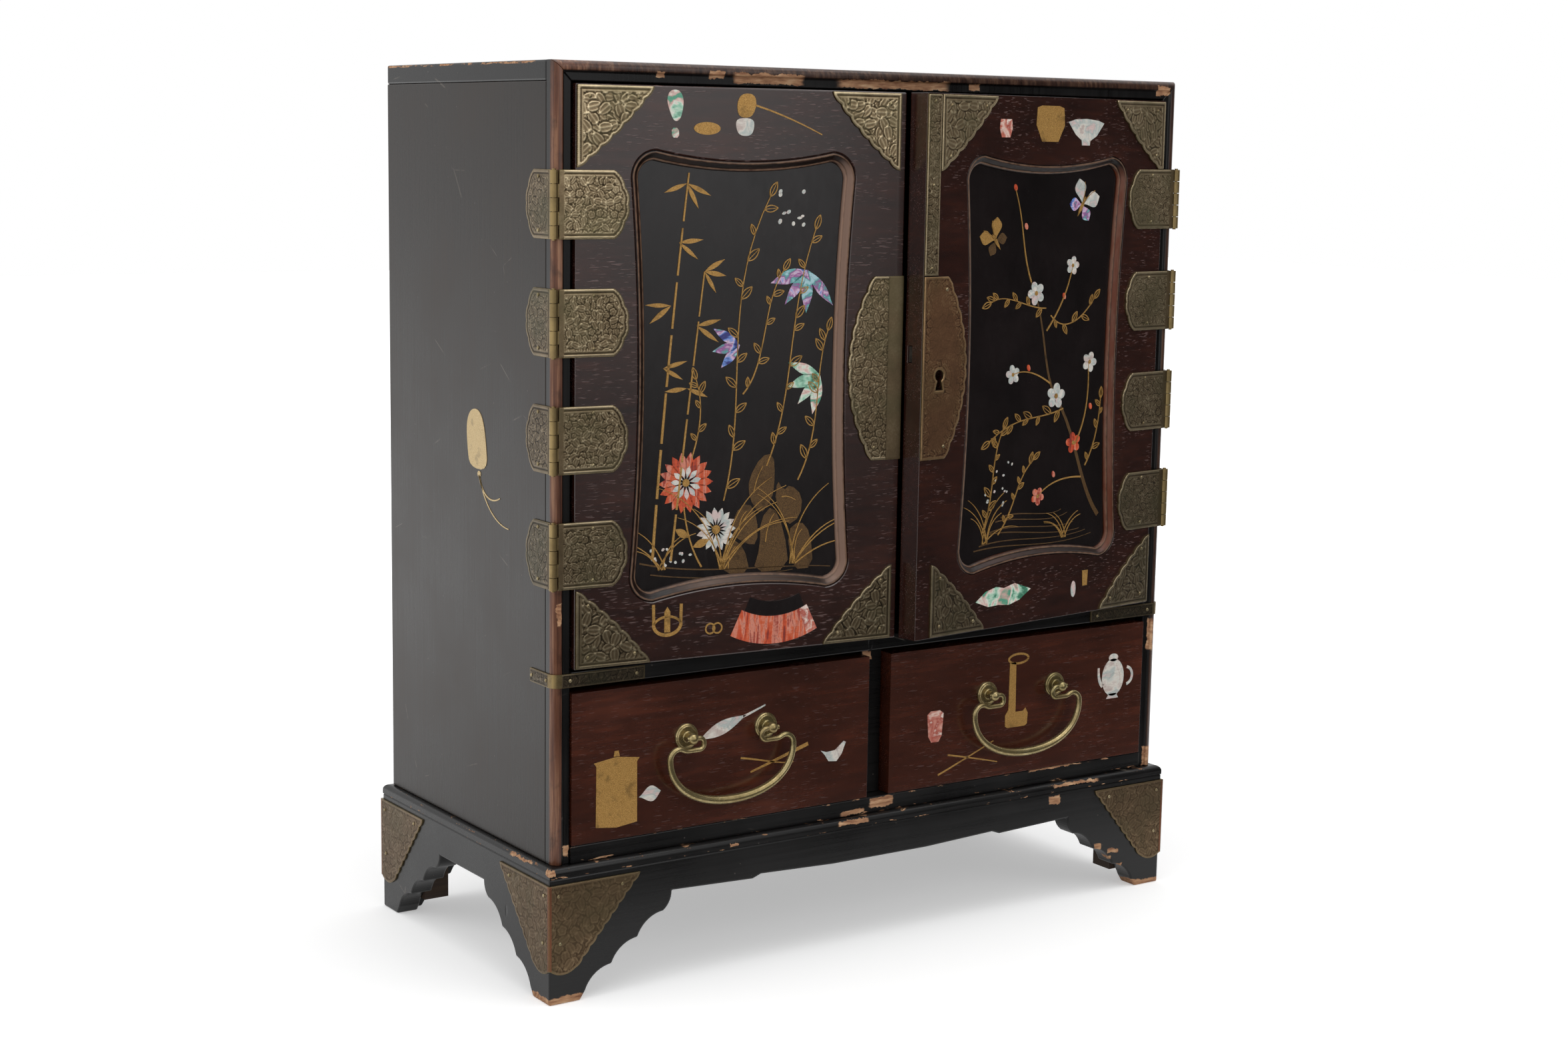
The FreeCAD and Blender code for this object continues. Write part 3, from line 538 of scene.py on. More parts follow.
def rest_turn(side):
    """Turns a shut door to where it stands at rest."""
    joint = joints[f"{side}_door_hinge"]
    pivot = Matrix.Translation(Vector(joint["pos_m"]))
    angle = radians(-joint["range_deg"][0])
    return pivot @ Matrix.Rotation(angle, 4, Vector(joint["axis"])) @ pivot.inverted()


def front_level(node, turn=Matrix()):
    """The y of a node's front in millimetres, with its door turned shut."""
    shut = turn.inverted()
    return min((shut @ vertex.co).y for vertex in nodes[node].data.vertices) / MM


def new_mesh(name, points, faces):
    mesh = bpy.data.meshes.new(name)
    mesh.from_pydata(points, [], faces)
    return mesh


def placed(name, data):
    """Puts a mesh, lamp or camera into the scene."""
    thing = bpy.data.objects.new(name, data)
    bpy.context.scene.collection.objects.link(thing)
    return thing


def piece(name, body, mesh, material):
    """Puts a mesh into the scene as a piece that rides on a body."""
    thing = placed(name, mesh)
    mesh.materials.clear()
    mesh.materials.append(material)
    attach(thing, body)
    return thing


def inlay(name, body, place, outlines, material, height):
    """Thin pieces of shell or metal leaf let into a face, each with its own outline."""
    points, faces = [], []
    for outline in outlines:
        if signed_area(outline) < 0:
            outline = outline[::-1]
        first = len(points)
        count = len(outline)
        points += [place @ Vector((x, z, level)) for level in (height, -INLAY_SUNK) for x, z in outline]
        for triangle in tessellate_polygon([[Vector((x, z, 0)) for x, z in outline]]):
            if signed_area([outline[corner] for corner in triangle]) < 0:
                triangle = triangle[::-1]
            faces.append([first + corner for corner in triangle])
            faces.append([first + count + corner for corner in reversed(triangle)])
        for corner in range(count):
            after = (corner + 1) % count
            faces.append((first + corner, first + count + corner, first + count + after, first + after))
    piece(name, body, new_mesh(name, points, faces), material)


def welded(mesh):
    """A copy of a mesh to work on, with its split corners joined."""
    copy = bmesh.new()
    copy.from_mesh(mesh)
    bmesh.ops.remove_doubles(copy, verts=copy.verts, dist=WELD * MM)
    return copy


def fused(name, members, material, edge):
    """One piece for CAD nodes that the lacquer covers as one, with its edges softened."""
    things = []
    for node in members:
        mesh = bpy.data.meshes.new(node + "_copy")
        joined = welded(nodes[node].data)
        joined.to_mesh(mesh)
        joined.free()
        things.append(placed(node + "_copy", mesh))
    for other in things[1:]:
        union = things[0].modifiers.new("join", "BOOLEAN")
        union.operation = "UNION"
        union.solver = "EXACT"
        union.object = other
    graph = bpy.context.evaluated_depsgraph_get()
    mesh = bpy.data.meshes.new_from_object(things[0].evaluated_get(graph), depsgraph=graph)
    for thing in things:
        bpy.data.objects.remove(thing)
    whole = welded(mesh)
    bmesh.ops.dissolve_limit(whole, angle_limit=FLAT_ANGLE, verts=whole.verts, edges=whole.edges)
    for face in whole.faces:
        face.smooth = False
    whole.to_mesh(mesh)
    whole.free()
    mesh.name = name
    thing = piece(name, bodies_of[members[0]], mesh, material)
    soften(thing, edge)
    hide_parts(*members)


def soften(thing, edge):
    """Rounds the sharp edges by a width in millimetres."""
    bevel = thing.modifiers.new("edges", "BEVEL")
    bevel.width = edge * MM
    bevel.segments = 2
    bevel.limit_method = "ANGLE"
    bevel.angle_limit = SHARP_ANGLE


def soften_nodes(edge, *names):
    """Rounds the sharp edges of CAD nodes where they stand."""
    for name in names:
        weld = nodes[name].modifiers.new("weld", "WELD")
        weld.merge_threshold = WELD * MM
        flat = nodes[name].modifiers.new("flat", "DECIMATE")
        flat.decimate_type = "DISSOLVE"
        flat.angle_limit = FLAT_ANGLE
        soften(nodes[name], edge)


def dress(material, *names):
    """Gives CAD nodes a material."""
    for name in names:
        for slot in nodes[name].material_slots:
            slot.material = material


# Engraved brass, reeded mouldings, nails and rosettes

FACING = 0.9995
SMALLEST_FACE = 80.0
STRAIGHT = 6.0
ROW_SHARE = 0.866
RIM_CLEAR = 0.45
DEEPEST = 0.02
GROUND = 0.3
PLAIN_TONE = 0.46
RIM_TONE = 0.76
PLAIN_RISE = 0.03
RIM_SUNK = -0.12
REED_SPACING = 4.0
NAIL_RADIUS = 0.95
NAIL_SEAT = 0.15
NAIL_STEPS = 12
ROSETTE_FACE = 1.6
ROSETTE_STEPS = 32

# Section of a reeded moulding: millimetres inwards and up from the crown's outer edge, and its tone, rubbed to tan
# at the crests and darker in the hollows
REED = [
    (0.1, -0.6, 0.0), (0.2, 0.1, 0.4), (0.5, 0.3, 0.9), (0.9, 0.36, 1.0), (1.3, 0.26, 0.7),
    (1.7, -0.1, 0.1), (2.2, -0.7, 0.0), (2.8, -1.5, 0.0), (3.1, -1.8, 0.3), (3.5, -1.9, 0.9),
    (3.9, -2.05, 1.0), (4.3, -2.4, 0.7), (4.6, -2.9, 0.2), (4.7, -3.7, 0.0), (4.0, -3.9, 0.0),
    (1.0, -1.4, 0.0),
]

# Section of a nail's head, in radii from its middle and out
NAIL = [(1.0, -0.1), (1.0, 0.12), (0.86, 0.36), (0.6, 0.55), (0.3, 0.66)]

# Sections of a rosette's rim and collar: millimetres from its middle and out from its face
ROSETTE_RIM = [(4.4, -0.2), (4.6, 0.1), (4.9, 0.45), (5.3, 0.6), (5.7, 0.45), (5.9, 0.1), (6.1, -0.4),
               (5.0, -0.6)]
ROSETTE_COLLAR = [(1.6, -0.2), (1.7, 0.6), (2.3, 0.8), (2.9, 0.55), (3.2, -0.2)]


def facing_groups(mesh, out):
    """Groups of joined faces that look along out."""
    looking = {face: None for face in mesh.faces if face.normal.dot(out) > FACING}
    while looking:
        group = {}
        waiting = [looking.popitem()[0]]
        while waiting:
            face = waiting.pop()
            group[face] = None
            for edge in face.edges:
                for other in edge.link_faces:
                    if other in looking:
                        del looking[other]
                        waiting.append(other)
        yield group


def flat_rims(node, out):
    """The level of each of a node's flat faces that look along out, and its rims, the outer one first."""
    right = UP.cross(out)
    mesh = welded(nodes[node].data)
    found = []
    for group in facing_groups(mesh, out):
        if sum(face.calc_area() for face in group) < SMALLEST_FACE * MM * MM:
            continue
        follows = {}
        for face in group:
            for corner in face.loops:
                if sum(other in group for other in corner.edge.link_faces) == 1:
                    follows[corner.vert] = corner.link_loop_next.vert
        loops = []
        while follows:
            start, at = follows.popitem()
            loop = [start]
            while at in follows:
                loop.append(at)
                at = follows.pop(at)
            loops.append([(vert.co.dot(right) / MM, vert.co.z / MM) for vert in loop])
        level = next(iter(group)).verts[0].co.dot(out) / MM
        found.append((level, sorted(loops, key=lambda loop: -abs(signed_area(loop)))))
    mesh.free()
    return found


def spot(out, x, z, level):
    """Takes millimetres right, up and out on a face that looks along out to the frame's metres."""
    return MM * (x * UP.cross(out) + level * out) + Vector((0, 0, z * MM))


def rim_distance(points, edges):
    """How far each point lies from the nearest of these edges."""
    best = np.full(len(points), 1e9)
    for a, b in edges:
        run = np.subtract(b, a)
        share = np.clip((points - a) @ run / max(run @ run, 1e-12), 0, 1)
        best = np.minimum(best, np.hypot(*(points - a - share[:, None] * run).T))
    return best


def inside(points, loops):
    """Which points lie inside an odd number of these loops."""
    found = np.zeros(len(points), bool)
    x, z = points.T
    for a, b in [pair for loop in loops for pair in pairs(loop)]:
        if a[1] != b[1]:
            crosses = (a[1] > z) != (b[1] > z)
            found ^= crosses & (x < a[0] + (z - a[1]) * (b[0] - a[0]) / (b[1] - a[1]))
    return found


def band(value, middle, half):
    """Falls smoothly from 1 at the middle to almost nought at half's distance."""
    return np.exp(-2 * ((value - middle) / half) ** 2)


def foliage(points, size, seed, blossoms):
    """Heights from 0 to 1 of engraved leaves and blossoms, outlined and packed over a plate."""
    draw = random.Random(seed)
    height = np.full(len(points), GROUND)
    low, high = points.min(0), points.max(0)
    gap = 0.74 * size
    spots = []
    for row in range(int((high[1] - low[1]) / gap) + 2):
        for column in range(int((high[0] - low[0]) / gap) + 2):
            spots.append((low[0] + gap * (column + 0.5 * (row % 2) + draw.uniform(-0.25, 0.25)),
                          low[1] + gap * (row + draw.uniform(-0.25, 0.25))))
    draw.shuffle(spots)
    for spot in spots:
        away = points - spot
        near = np.hypot(*away.T) < 0.8 * size
        turn = draw.uniform(0, 2 * pi)
        p = away[near, 0] * cos(turn) + away[near, 1] * sin(turn)
        q = away[near, 1] * cos(turn) - away[near, 0] * sin(turn)
        if draw.random() < blossoms:
            lobes = 0.74 + 0.26 * np.abs(np.cos(2.5 * np.arctan2(q, p)))
            share = np.hypot(p, q) / (0.48 * size * lobes)
            veins = band(share, 0.22, 0.14)
        else:
            taper = np.sqrt(np.clip(1 - (p / (0.6 * size)) ** 2, 0.001, None))
            half = 0.4 * size * taper * (1 - 0.3 * p / size)
            share = np.maximum(np.abs(q) / half, np.abs(p) / (0.6 * size))
            veins = band(q, 0, 0.09 * size)
        leaf_height = 0.44 + 0.42 * band(share, 0.84, 0.2) + 0.3 * veins
        around = np.minimum(height[near], GROUND) - 0.26 * band(share, 1.14, 0.2)
        height[near] = np.where(share < 1, leaf_height, np.where(share < 1.3, around, height[near]))
    return np.clip(height, DEEPEST, 1)


def plate_mesh(loops, edges, spacing):
    """Points spread over a plate, and its faces above and below."""
    border = [point for loop in loops for point in loop]
    low, high = np.min(border, 0), np.max(border, 0)
    rows = np.arange(low[1], high[1], ROW_SHARE * spacing)
    field = np.array([(x + 0.5 * spacing * (row % 2), z) for row, z in enumerate(rows)
                      for x in np.arange(low[0], high[0], spacing)])
    kept = inside(field, loops) & (rim_distance(field, edges) > RIM_CLEAR * spacing)
    spots = [Vector(point) for point in np.vstack([border, field[kept]])]
    fixed = []
    for loop in loops:
        first = len(fixed)
        fixed += [(first + step, first + (step + 1) % len(loop)) for step in range(len(loop))]
    verts, _, triangles, origins, _, _ = delaunay_2d_cdt(spots, fixed, [], 1, 1e-7)
    flat = np.array([tuple(vert) for vert in verts])
    solid = inside(np.array([np.mean(flat[list(triangle)], 0) for triangle in triangles]), loops)
    faces = [list(triangle) for triangle, good in zip(triangles, solid) if good]
    place_of = {source: index for index, sources in enumerate(origins) for source in sources}
    for triangle in tessellate_polygon([[Vector((x, z, 0)) for x, z in loop] for loop in loops]):
        corners = [place_of[corner] for corner in triangle]
        if signed_area([tuple(flat[corner]) for corner in corners]) > 0:
            corners = corners[::-1]
        faces.append(corners)
    return flat, faces


def plate_relief(flat, edges, seed, spacing, size=5.6, depth=0.26, rim=1.2, second=0.0,
                 second_on_straight=False, plain=0.0, plain_end=1, worn=0.0, blossoms=0.0):
    """How raised each point of a plate is, as a tone from 0 to 1 and as a rise in millimetres.

    A second line may follow the rim, a plain low strip may lie along the end to the right (1) or left (-1),
    and worn flattens the middle.
    """
    away = rim_distance(flat, edges)
    tone = foliage(flat, size, seed, blossoms)
    tone += worn * np.clip((away - 2) / 5, 0, 1) * (0.4 - tone)
    strip = np.max(plain_end * flat[:, 0]) - plain_end * flat[:, 0]
    if plain:
        tone -= 0.3 * band(strip, plain, 0.6)
    if second:
        straight = [(a, b) for a, b in edges if hypot(b[0] - a[0], b[1] - a[1]) > STRAIGHT]
        follow = rim_distance(flat, straight) if second_on_straight else away
        tone = np.where(follow < rim + second + 0.4, GROUND, tone)
        tone += 0.4 * band(follow, rim + second, 0.7)
    tone = np.where(away < rim, RIM_TONE, tone - 0.3 * band(away, rim + 0.3, 0.6))
    tone = np.clip(tone, DEEPEST, 1)
    rise = np.where(strip < plain, PLAIN_RISE, depth * tone)
    tone = np.where(strip < plain, PLAIN_TONE, tone)
    return tone, np.where(away < 0.5 * spacing, RIM_SUNK, rise)


def engraved(name, node, outs, seed, material, spacing=0.5, **style):
    """Engraves a node's brass plates, and gives the way out, the level and the rim of each."""
    points, faces, tones, plates = [], [], [], []
    for out in map(Vector, outs):
        for level, rims in flat_rims(node, out):
            loops = [divided(loop, spacing) for loop in rims]
            edges = [pair for loop in rims for pair in pairs(loop)]
            flat, plate_faces = plate_mesh(loops, edges, spacing)
            seed += 1
            tone, rise = plate_relief(flat, edges, seed, spacing, **style)
            faces += [[len(points) + corner for corner in face] for face in plate_faces]
            points += [spot(out, x, z, level + up) for (x, z), up in zip(flat, rise)]
            tones += list(tone)
            plates.append((out, level, loops[0]))
    relief_piece(name, bodies_of[node], points, faces, tones, material)
    return plates


def relief_piece(name, body, points, faces, tones, material):
    """A smooth mesh that carries how raised each of its points is."""
    mesh = new_mesh(name, points, faces)
    mesh.attributes.new("relief", "FLOAT", "POINT").data.foreach_set("value", tones)
    mesh.shade_smooth()
    piece(name, body, mesh, material)


def swept_faces(rings, count, first):
    """Faces between neighbouring rings of count points each, round a closed path."""
    faces = []
    for ring in range(rings):
        for step in range(count):
            after, beside = (ring + 1) % rings, (step + 1) % count
            corners = ((ring, step), (after, step), (after, beside), (ring, beside))
            faces.append([first + count * at + corner for at, corner in corners])
    return faces


def reeded(name, node, out, material):
    """Two beads and a hollow round a door panel, laid on the moulding's crown and slope."""
    level, loops = flat_rims(node, out)[0]
    loop = divided(loops[0] if signed_area(loops[0]) > 0 else loops[0][::-1], REED_SPACING)
    points = []
    for before, (x, z), after in zip(loop[-1:] + loop[:-1], loop, loop[1:] + loop[:1]):
        ahead = Vector(after) - Vector(before)
        inward = Vector((-ahead.y, ahead.x)).normalized()
        points += [spot(out, x + across * inward.x, z + across * inward.y, level + up)
                   for across, up, _ in REED]
    tones = [tone for _, _, tone in REED] * len(loop)
    faces = swept_faces(len(loop), len(REED), 0)
    relief_piece(name, bodies_of[node], points, faces, tones, material)


def rosettes(side):
    """Raised rims and collars on the two rosettes of a drawer's handle."""
    posts = f"{side}_handle_posts"
    low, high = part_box(posts)
    radius = (high.z - low.z) / 2
    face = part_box(f"{side}_drawer_front")[0].y - ROSETTE_FACE * MM
    points, faces, tones = [], [], []
    for x in (low.x + radius, high.x - radius):
        for section in (ROSETTE_RIM, ROSETTE_COLLAR):
            faces += swept_faces(ROSETTE_STEPS, len(section), len(points))
            for step in range(ROSETTE_STEPS):
                angle = 2 * pi * step / ROSETTE_STEPS
                points += [(x + MM * across * cos(angle), face - MM * up,
                            low.z + radius + MM * across * sin(angle)) for across, up in section]
            tones += [max(up, 0.0) for _, up in section] * ROSETTE_STEPS
    relief_piece(f"{side}_rosette_rims", bodies_of[posts], points, faces, tones, handle_brass)


def nails(name, body, places):
    """Small domed nail heads, each given by the point it sits on and the way it faces."""
    circle = [2 * pi * step / NAIL_STEPS for step in range(NAIL_STEPS)]
    points, faces = [], []
    for point, out in places:
        turn = out.to_track_quat("Z", "Y").to_matrix()
        rings = []
        for across, up in NAIL:
            rings.append(range(len(points), len(points) + NAIL_STEPS))
            ring = [Vector((across * cos(angle), across * sin(angle), up)) for angle in circle]
            points += [point + MM * NAIL_RADIUS * (turn @ corner) for corner in ring]
        for lower, upper in zip(rings, rings[1:]):
            faces += [(lower[step - 1], lower[step], upper[step], upper[step - 1])
                      for step in range(NAIL_STEPS)]
        faces += [rings[-1], rings[0][::-1]]
    mesh = new_mesh(name, points, faces)
    mesh.shade_smooth()
    piece(name, body, mesh, nail_brass)


def nails_at(plate, *places):
    """Nail places on a plate, as shares of its width and height."""
    out, level, rim = plate
    low, high = np.min(rim, 0), np.max(rim, 0)
    found = [low + place * (high - low) for place in places]
    return [(spot(out, x, z, level + NAIL_SEAT), out) for x, z in found]


def crowded(plate):
    """Whether the points of a plate's rim crowd to its left, and to its foot."""
    rim = plate[2]
    return np.mean(rim, 0) < (np.min(rim, 0) + np.max(rim, 0)) / 2


# Motifs, by material

BLOSSOM_PETALS = 5
SPRAY_SLIM = 0.42
SPRAY_SPREAD = 44
GRASS_BEND = 26


def frame_motifs(side):
    """Small traditional treasures on a door's rails."""
    if side == "left":
        ribs = [ring_part(-72.4, 223, 42, 56, start, start + 6.5, 4) for start in np.arange(243.5, 296, 6.6)]
        drop = [(-135.4, 433), (-133.6, 437.6), (-128.6, 437.8), (-126.2, 433.6), (-126.8, 428),
                (-128.4, 423.4), (-131.4, 423), (-133.6, 427.6)]
        bead = [(-132.6, 420), (-128.8, 420), (-128.6, 415.4), (-132.4, 415.4)]
        scoop = [(-97, 434), (-94, 437), (-88, 436.6), (-86.6, 432), (-88.4, 427), (-91, 425.4),
                 (-95.8, 425.6), (-97.4, 429)]
        pot = [(-97.6, 425.2), (-88.2, 425.2), (-87.8, 420.6), (-89.6, 416.8), (-95.8, 416.8), (-98, 420.6)]
        trivet = [stroke([(-140.2, 182), (-139.4, 174.6), (-125.8, 174.6), (-125, 182)], 1.7),
                  stroke([(-140.2, 182), (-137, 186.8), (-128.2, 186.8), (-125, 182)], 1.2),
                  stroke([(-140, 182), (-140.2, 192)], 1.6, steps=2),
                  stroke([(-125.2, 182), (-125, 191.4)], 1.6, steps=2),
                  [(-134.2, 177.8), (-131, 177.8), (-131, 188), (-132.6, 190.4), (-134.2, 188)]]
        rings = [ring_part(x, 177.6, 2.1, 2.9, 0, 359, 24) for x in (-108.8, -104.8)]
        handle = stroke([(-87.4, 431.4), (-70, 427), (-49.7, 418)], 0.9, 0.5)
        return {
            "green": [rounded(drop, 2), rounded(bead, 1)],
            "gold": [oval(-113.5, 420, 7.2, 3.0), rounded(scoop, 2), handle, *rings, *trivet],
            "pearl": [rounded(pot, 2)],
            "pink": ribs[-1:],
            "coral": ribs[:-1],
            "black": [ring_part(-72.4, 223, 34.5, 41.6, 246, 294)],
        }
    return {
        "gold": [[(80.5, 434), (84, 435), (97, 435), (100.8, 434), (101.6, 425), (98.6, 419.6), (97, 416.6),
                  (84.6, 416.6), (83, 419.6), (80, 425)],
                 [(127.6, 187), (132, 187), (131.6, 178.6), (128, 178.6)]],
        "pearl": [[(104.6, 427), (110, 428.4), (119, 428.8), (128, 428), (132.6, 426.6), (127, 420),
                   (122, 417.4), (121.6, 415), (115.6, 415), (115.2, 417.6), (110.4, 420.6)],
                  oval(120.6, 177.6, 1.9, 4.4)],
        "pink": [[(53.2, 427.6), (61.4, 427.6), (62, 423), (60.4, 418.4), (54.2, 418.4), (52.6, 423)]],
        "green": [[(44.6, 178.6), (52, 183.4), (60, 185.2), (66, 184), (74, 185.8), (86.6, 181.6),
                   (78, 176.6), (70, 174.6), (62, 175.4), (54, 175.2)]],
    }


def drawer_motifs(side):
    """Small traditional treasures on a drawer's front."""
    if side == "left":
        return {
            "gold": [[(-169.6, 84), (-158, 82.6), (-146.4, 84), (-146.6, 114.4), (-145.2, 116.2),
                      (-158, 118), (-170.8, 116.2), (-169.4, 114.4)],
                     [(-159.8, 118.2), (-156.4, 118.2), (-157, 121), (-159.2, 121)],
                     stroke([(-86, 108), (-74, 106), (-62, 101.6), (-54, 102)], 1.0, 0.5),
                     stroke([(-80, 100), (-64, 104.6), (-45, 110.4)], 0.9, 2.0)],
            "pearl": [leaf(-145.4, 96, 12.6, 8, 8, 0.8),
                      leaf(-110.4, 120.6, 29, 7, 19, 1.1),
                      stroke([(-85, 129.2), (-78, 131.4), (-71.6, 133.8)], 1.3, 0.7),
                      [(-37, 105.6), (-33.4, 104.4), (-28, 104.8), (-22.6, 109), (-21.2, 108.4),
                       (-23.8, 102.4), (-27, 98.8), (-32, 99.4), (-34.4, 103)]],
        }
    return {
        "gold": [[(84.8, 103.4), (86.4, 102.4), (98.4, 102.4), (100, 103.4), (100.4, 109.4), (98.8, 112.4),
                  (97, 110.8), (91.8, 110.8), (91.4, 138.4), (87, 138.4), (86.8, 112.4), (84.6, 109.4)],
                 oval(93, 140.2, 7.4, 3.2, steps=72) + oval(93, 140.2, 6.1, 2.0, steps=72)[::-1],
                 stroke([(39.6, 82.4), (58, 89), (77, 96.6)], 0.9, 0.6),
                 stroke([(46, 92.6), (62, 89.2), (80, 84.6)], 0.9, 0.6)],
        "pearl": [oval(161.4, 122.4, 8, 10.6),
                  oval(161.4, 133.6, 3.4, 2.2),
                  ring_part(170.6, 122.4, 4.2, 5.8, -78, 78),
                  stroke([(154, 118), (150.4, 121), (150.8, 128.6)], 2.2, 1.4),
                  [(157, 110.4), (165.8, 110.4), (164, 113.2), (158.8, 113.2)]],
        "pink": [[(31.6, 116), (34, 117.8), (40, 117.8), (42.4, 116), (41.4, 104), (39.4, 100.8),
                  (34.6, 100.8), (32.6, 104)]],
    }


def pouch():
    """A gold tobacco pouch with two cords, on the left side, measured back from its front edge."""
    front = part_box("side_panel_left")[0].y / MM

    def spots(*points):
        return [(-(front + back), z) for back, z in points]

    bag = spots((59, 252), (60.5, 266), (63.5, 277), (69, 282), (77, 281), (81.5, 274), (80.5, 262),
                (78, 252))
    knot = spots((68, 249.6))[0]
    return [rounded(bag, 2), oval(*knot, 1.7, 1.5),
            stroke(spots((68, 249), (66, 241), (57, 235), (46, 240)), 1.1, 0.6),
            stroke(spots((68, 249), (65, 241), (56, 227), (37, 226)), 0.9, 0.5)]


def grass(x, z, count, reach, lean, width, draw):
    """A tuft of arching blades."""
    blades = []
    for _ in range(count):
        way = lean + draw.uniform(-34, 34)
        length = reach * draw.uniform(0.55, 1.0)
        top = turned(length, 0, way + (GRASS_BEND if way > 90 else -GRASS_BEND), x, z)
        middle = turned(0.62 * length, 0, way, x, z)
        blades.append(stroke([(x + draw.uniform(-2, 2), z), middle, top], width, 0.25, 12))
    return blades


def outlined_leaf(base, length, way):
    """Fine strokes for a leaf's two edges and its vein."""
    tip = turned(length, 0, way, *base)
    edges = [turned(0.42 * length, hand * SPRAY_SLIM * length, way, *base) for hand in (-1, 1)]
    return [stroke([base, edge, tip], 0.55, 0.4, 8) for edge in edges] + [stroke([base, tip], 0.4, 0.25, 2)]


def spray(points, count, size, draw):
    """A thin stem with outlined leaves to either side, more or less in turn, and one at its tip."""
    line = curve(points, 2 * count)
    found = [stroke(points, 0.7, 0.4)]
    for step in range(1, 2 * count + 1, 2):
        place = min(step + draw.choice((0, 0, 1)), 2 * count - 1)
        ahead = line[place + 1] - line[place - 1]
        hand = draw.choice((-1, 1)) if draw.random() < 0.25 else (-1) ** (step // 2)
        way = degrees(atan2(ahead.y, ahead.x)) + hand * (SPRAY_SPREAD + draw.uniform(-16, 16))
        found += outlined_leaf(line[place], size * draw.uniform(0.65, 1.15), way)
    ahead = line[-1] - line[-2]
    return found + outlined_leaf(line[-1], size, degrees(atan2(ahead.y, ahead.x)))


def bamboo(points, width, joint):
    """A thin stalk in lengths, with a gap at each joint."""
    line = curve(points, 60)
    last = len(line) - 1
    lengths, first, run = [], 0, 0.0
    for step in range(1, last + 1):
        run += (line[step] - line[step - 1]).length
        if run > joint or step == last:
            share = width * (1 - 0.45 * step / len(line))
            bends = [line[first], line[(first + step) // 2], line[step]]
            lengths.append(stroke(bends, share, 0.9 * share, 6))
            first, run = min(step + 1, last), 0.0
    return lengths


def fan_of_leaves(x, z, length, width, angles, draw):
    """Leaves that hang from one point."""
    return [leaf(x, z, length * draw.uniform(0.85, 1.05), width * draw.uniform(0.85, 1.1), angle, 1.05)
            for angle in angles]


def blossom(x, z, radius, turn):
    """Separate round petals about a middle."""
    angles = [turn + 360 * petal / BLOSSOM_PETALS for petal in range(BLOSSOM_PETALS)]
    return [oval(*turned(0.58 * radius, 0, angle, x, z), 0.42 * radius, 0.36 * radius, angle, 16)
            for angle in angles]


def petals(x, z, inner, length, width, count, start=0.0):
    """Long petals about a middle."""
    angles = [start + 360 * step / count for step in range(count)]
    return [leaf(*turned(inner, 0, angle, x, z), length, width, angle, 0.75) for angle in angles]


def dots(count, x_range, z_range, size, draw):
    """Scattered specks."""
    return [oval(draw.uniform(*x_range), draw.uniform(*z_range), size * draw.uniform(0.6, 1.1),
                 size * draw.uniform(0.5, 0.8), draw.uniform(0, 90), 10) for _ in range(count)]


def butterfly(x, z, size, turn, upper, lower, body):
    """Adds a butterfly's wings and body to three lists."""
    for hand in (-1, 1):
        upper.append(leaf(x, z, size, 0.62 * size, turn + hand * 42, 0.62))
        lower.append(leaf(x, z, 0.72 * size, 0.5 * size, turn + hand * 118, 0.7))
        body.append(stroke([(x, z), turned(0.5 * size, hand * 0.1 * size, turn, x, z),
                            turned(0.8 * size, hand * 0.34 * size, turn, x, z)], 0.4, 0.3, 8))
    body.append(leaf(*turned(-0.5 * size, 0, turn, x, z), 0.85 * size, 0.16 * size, turn))


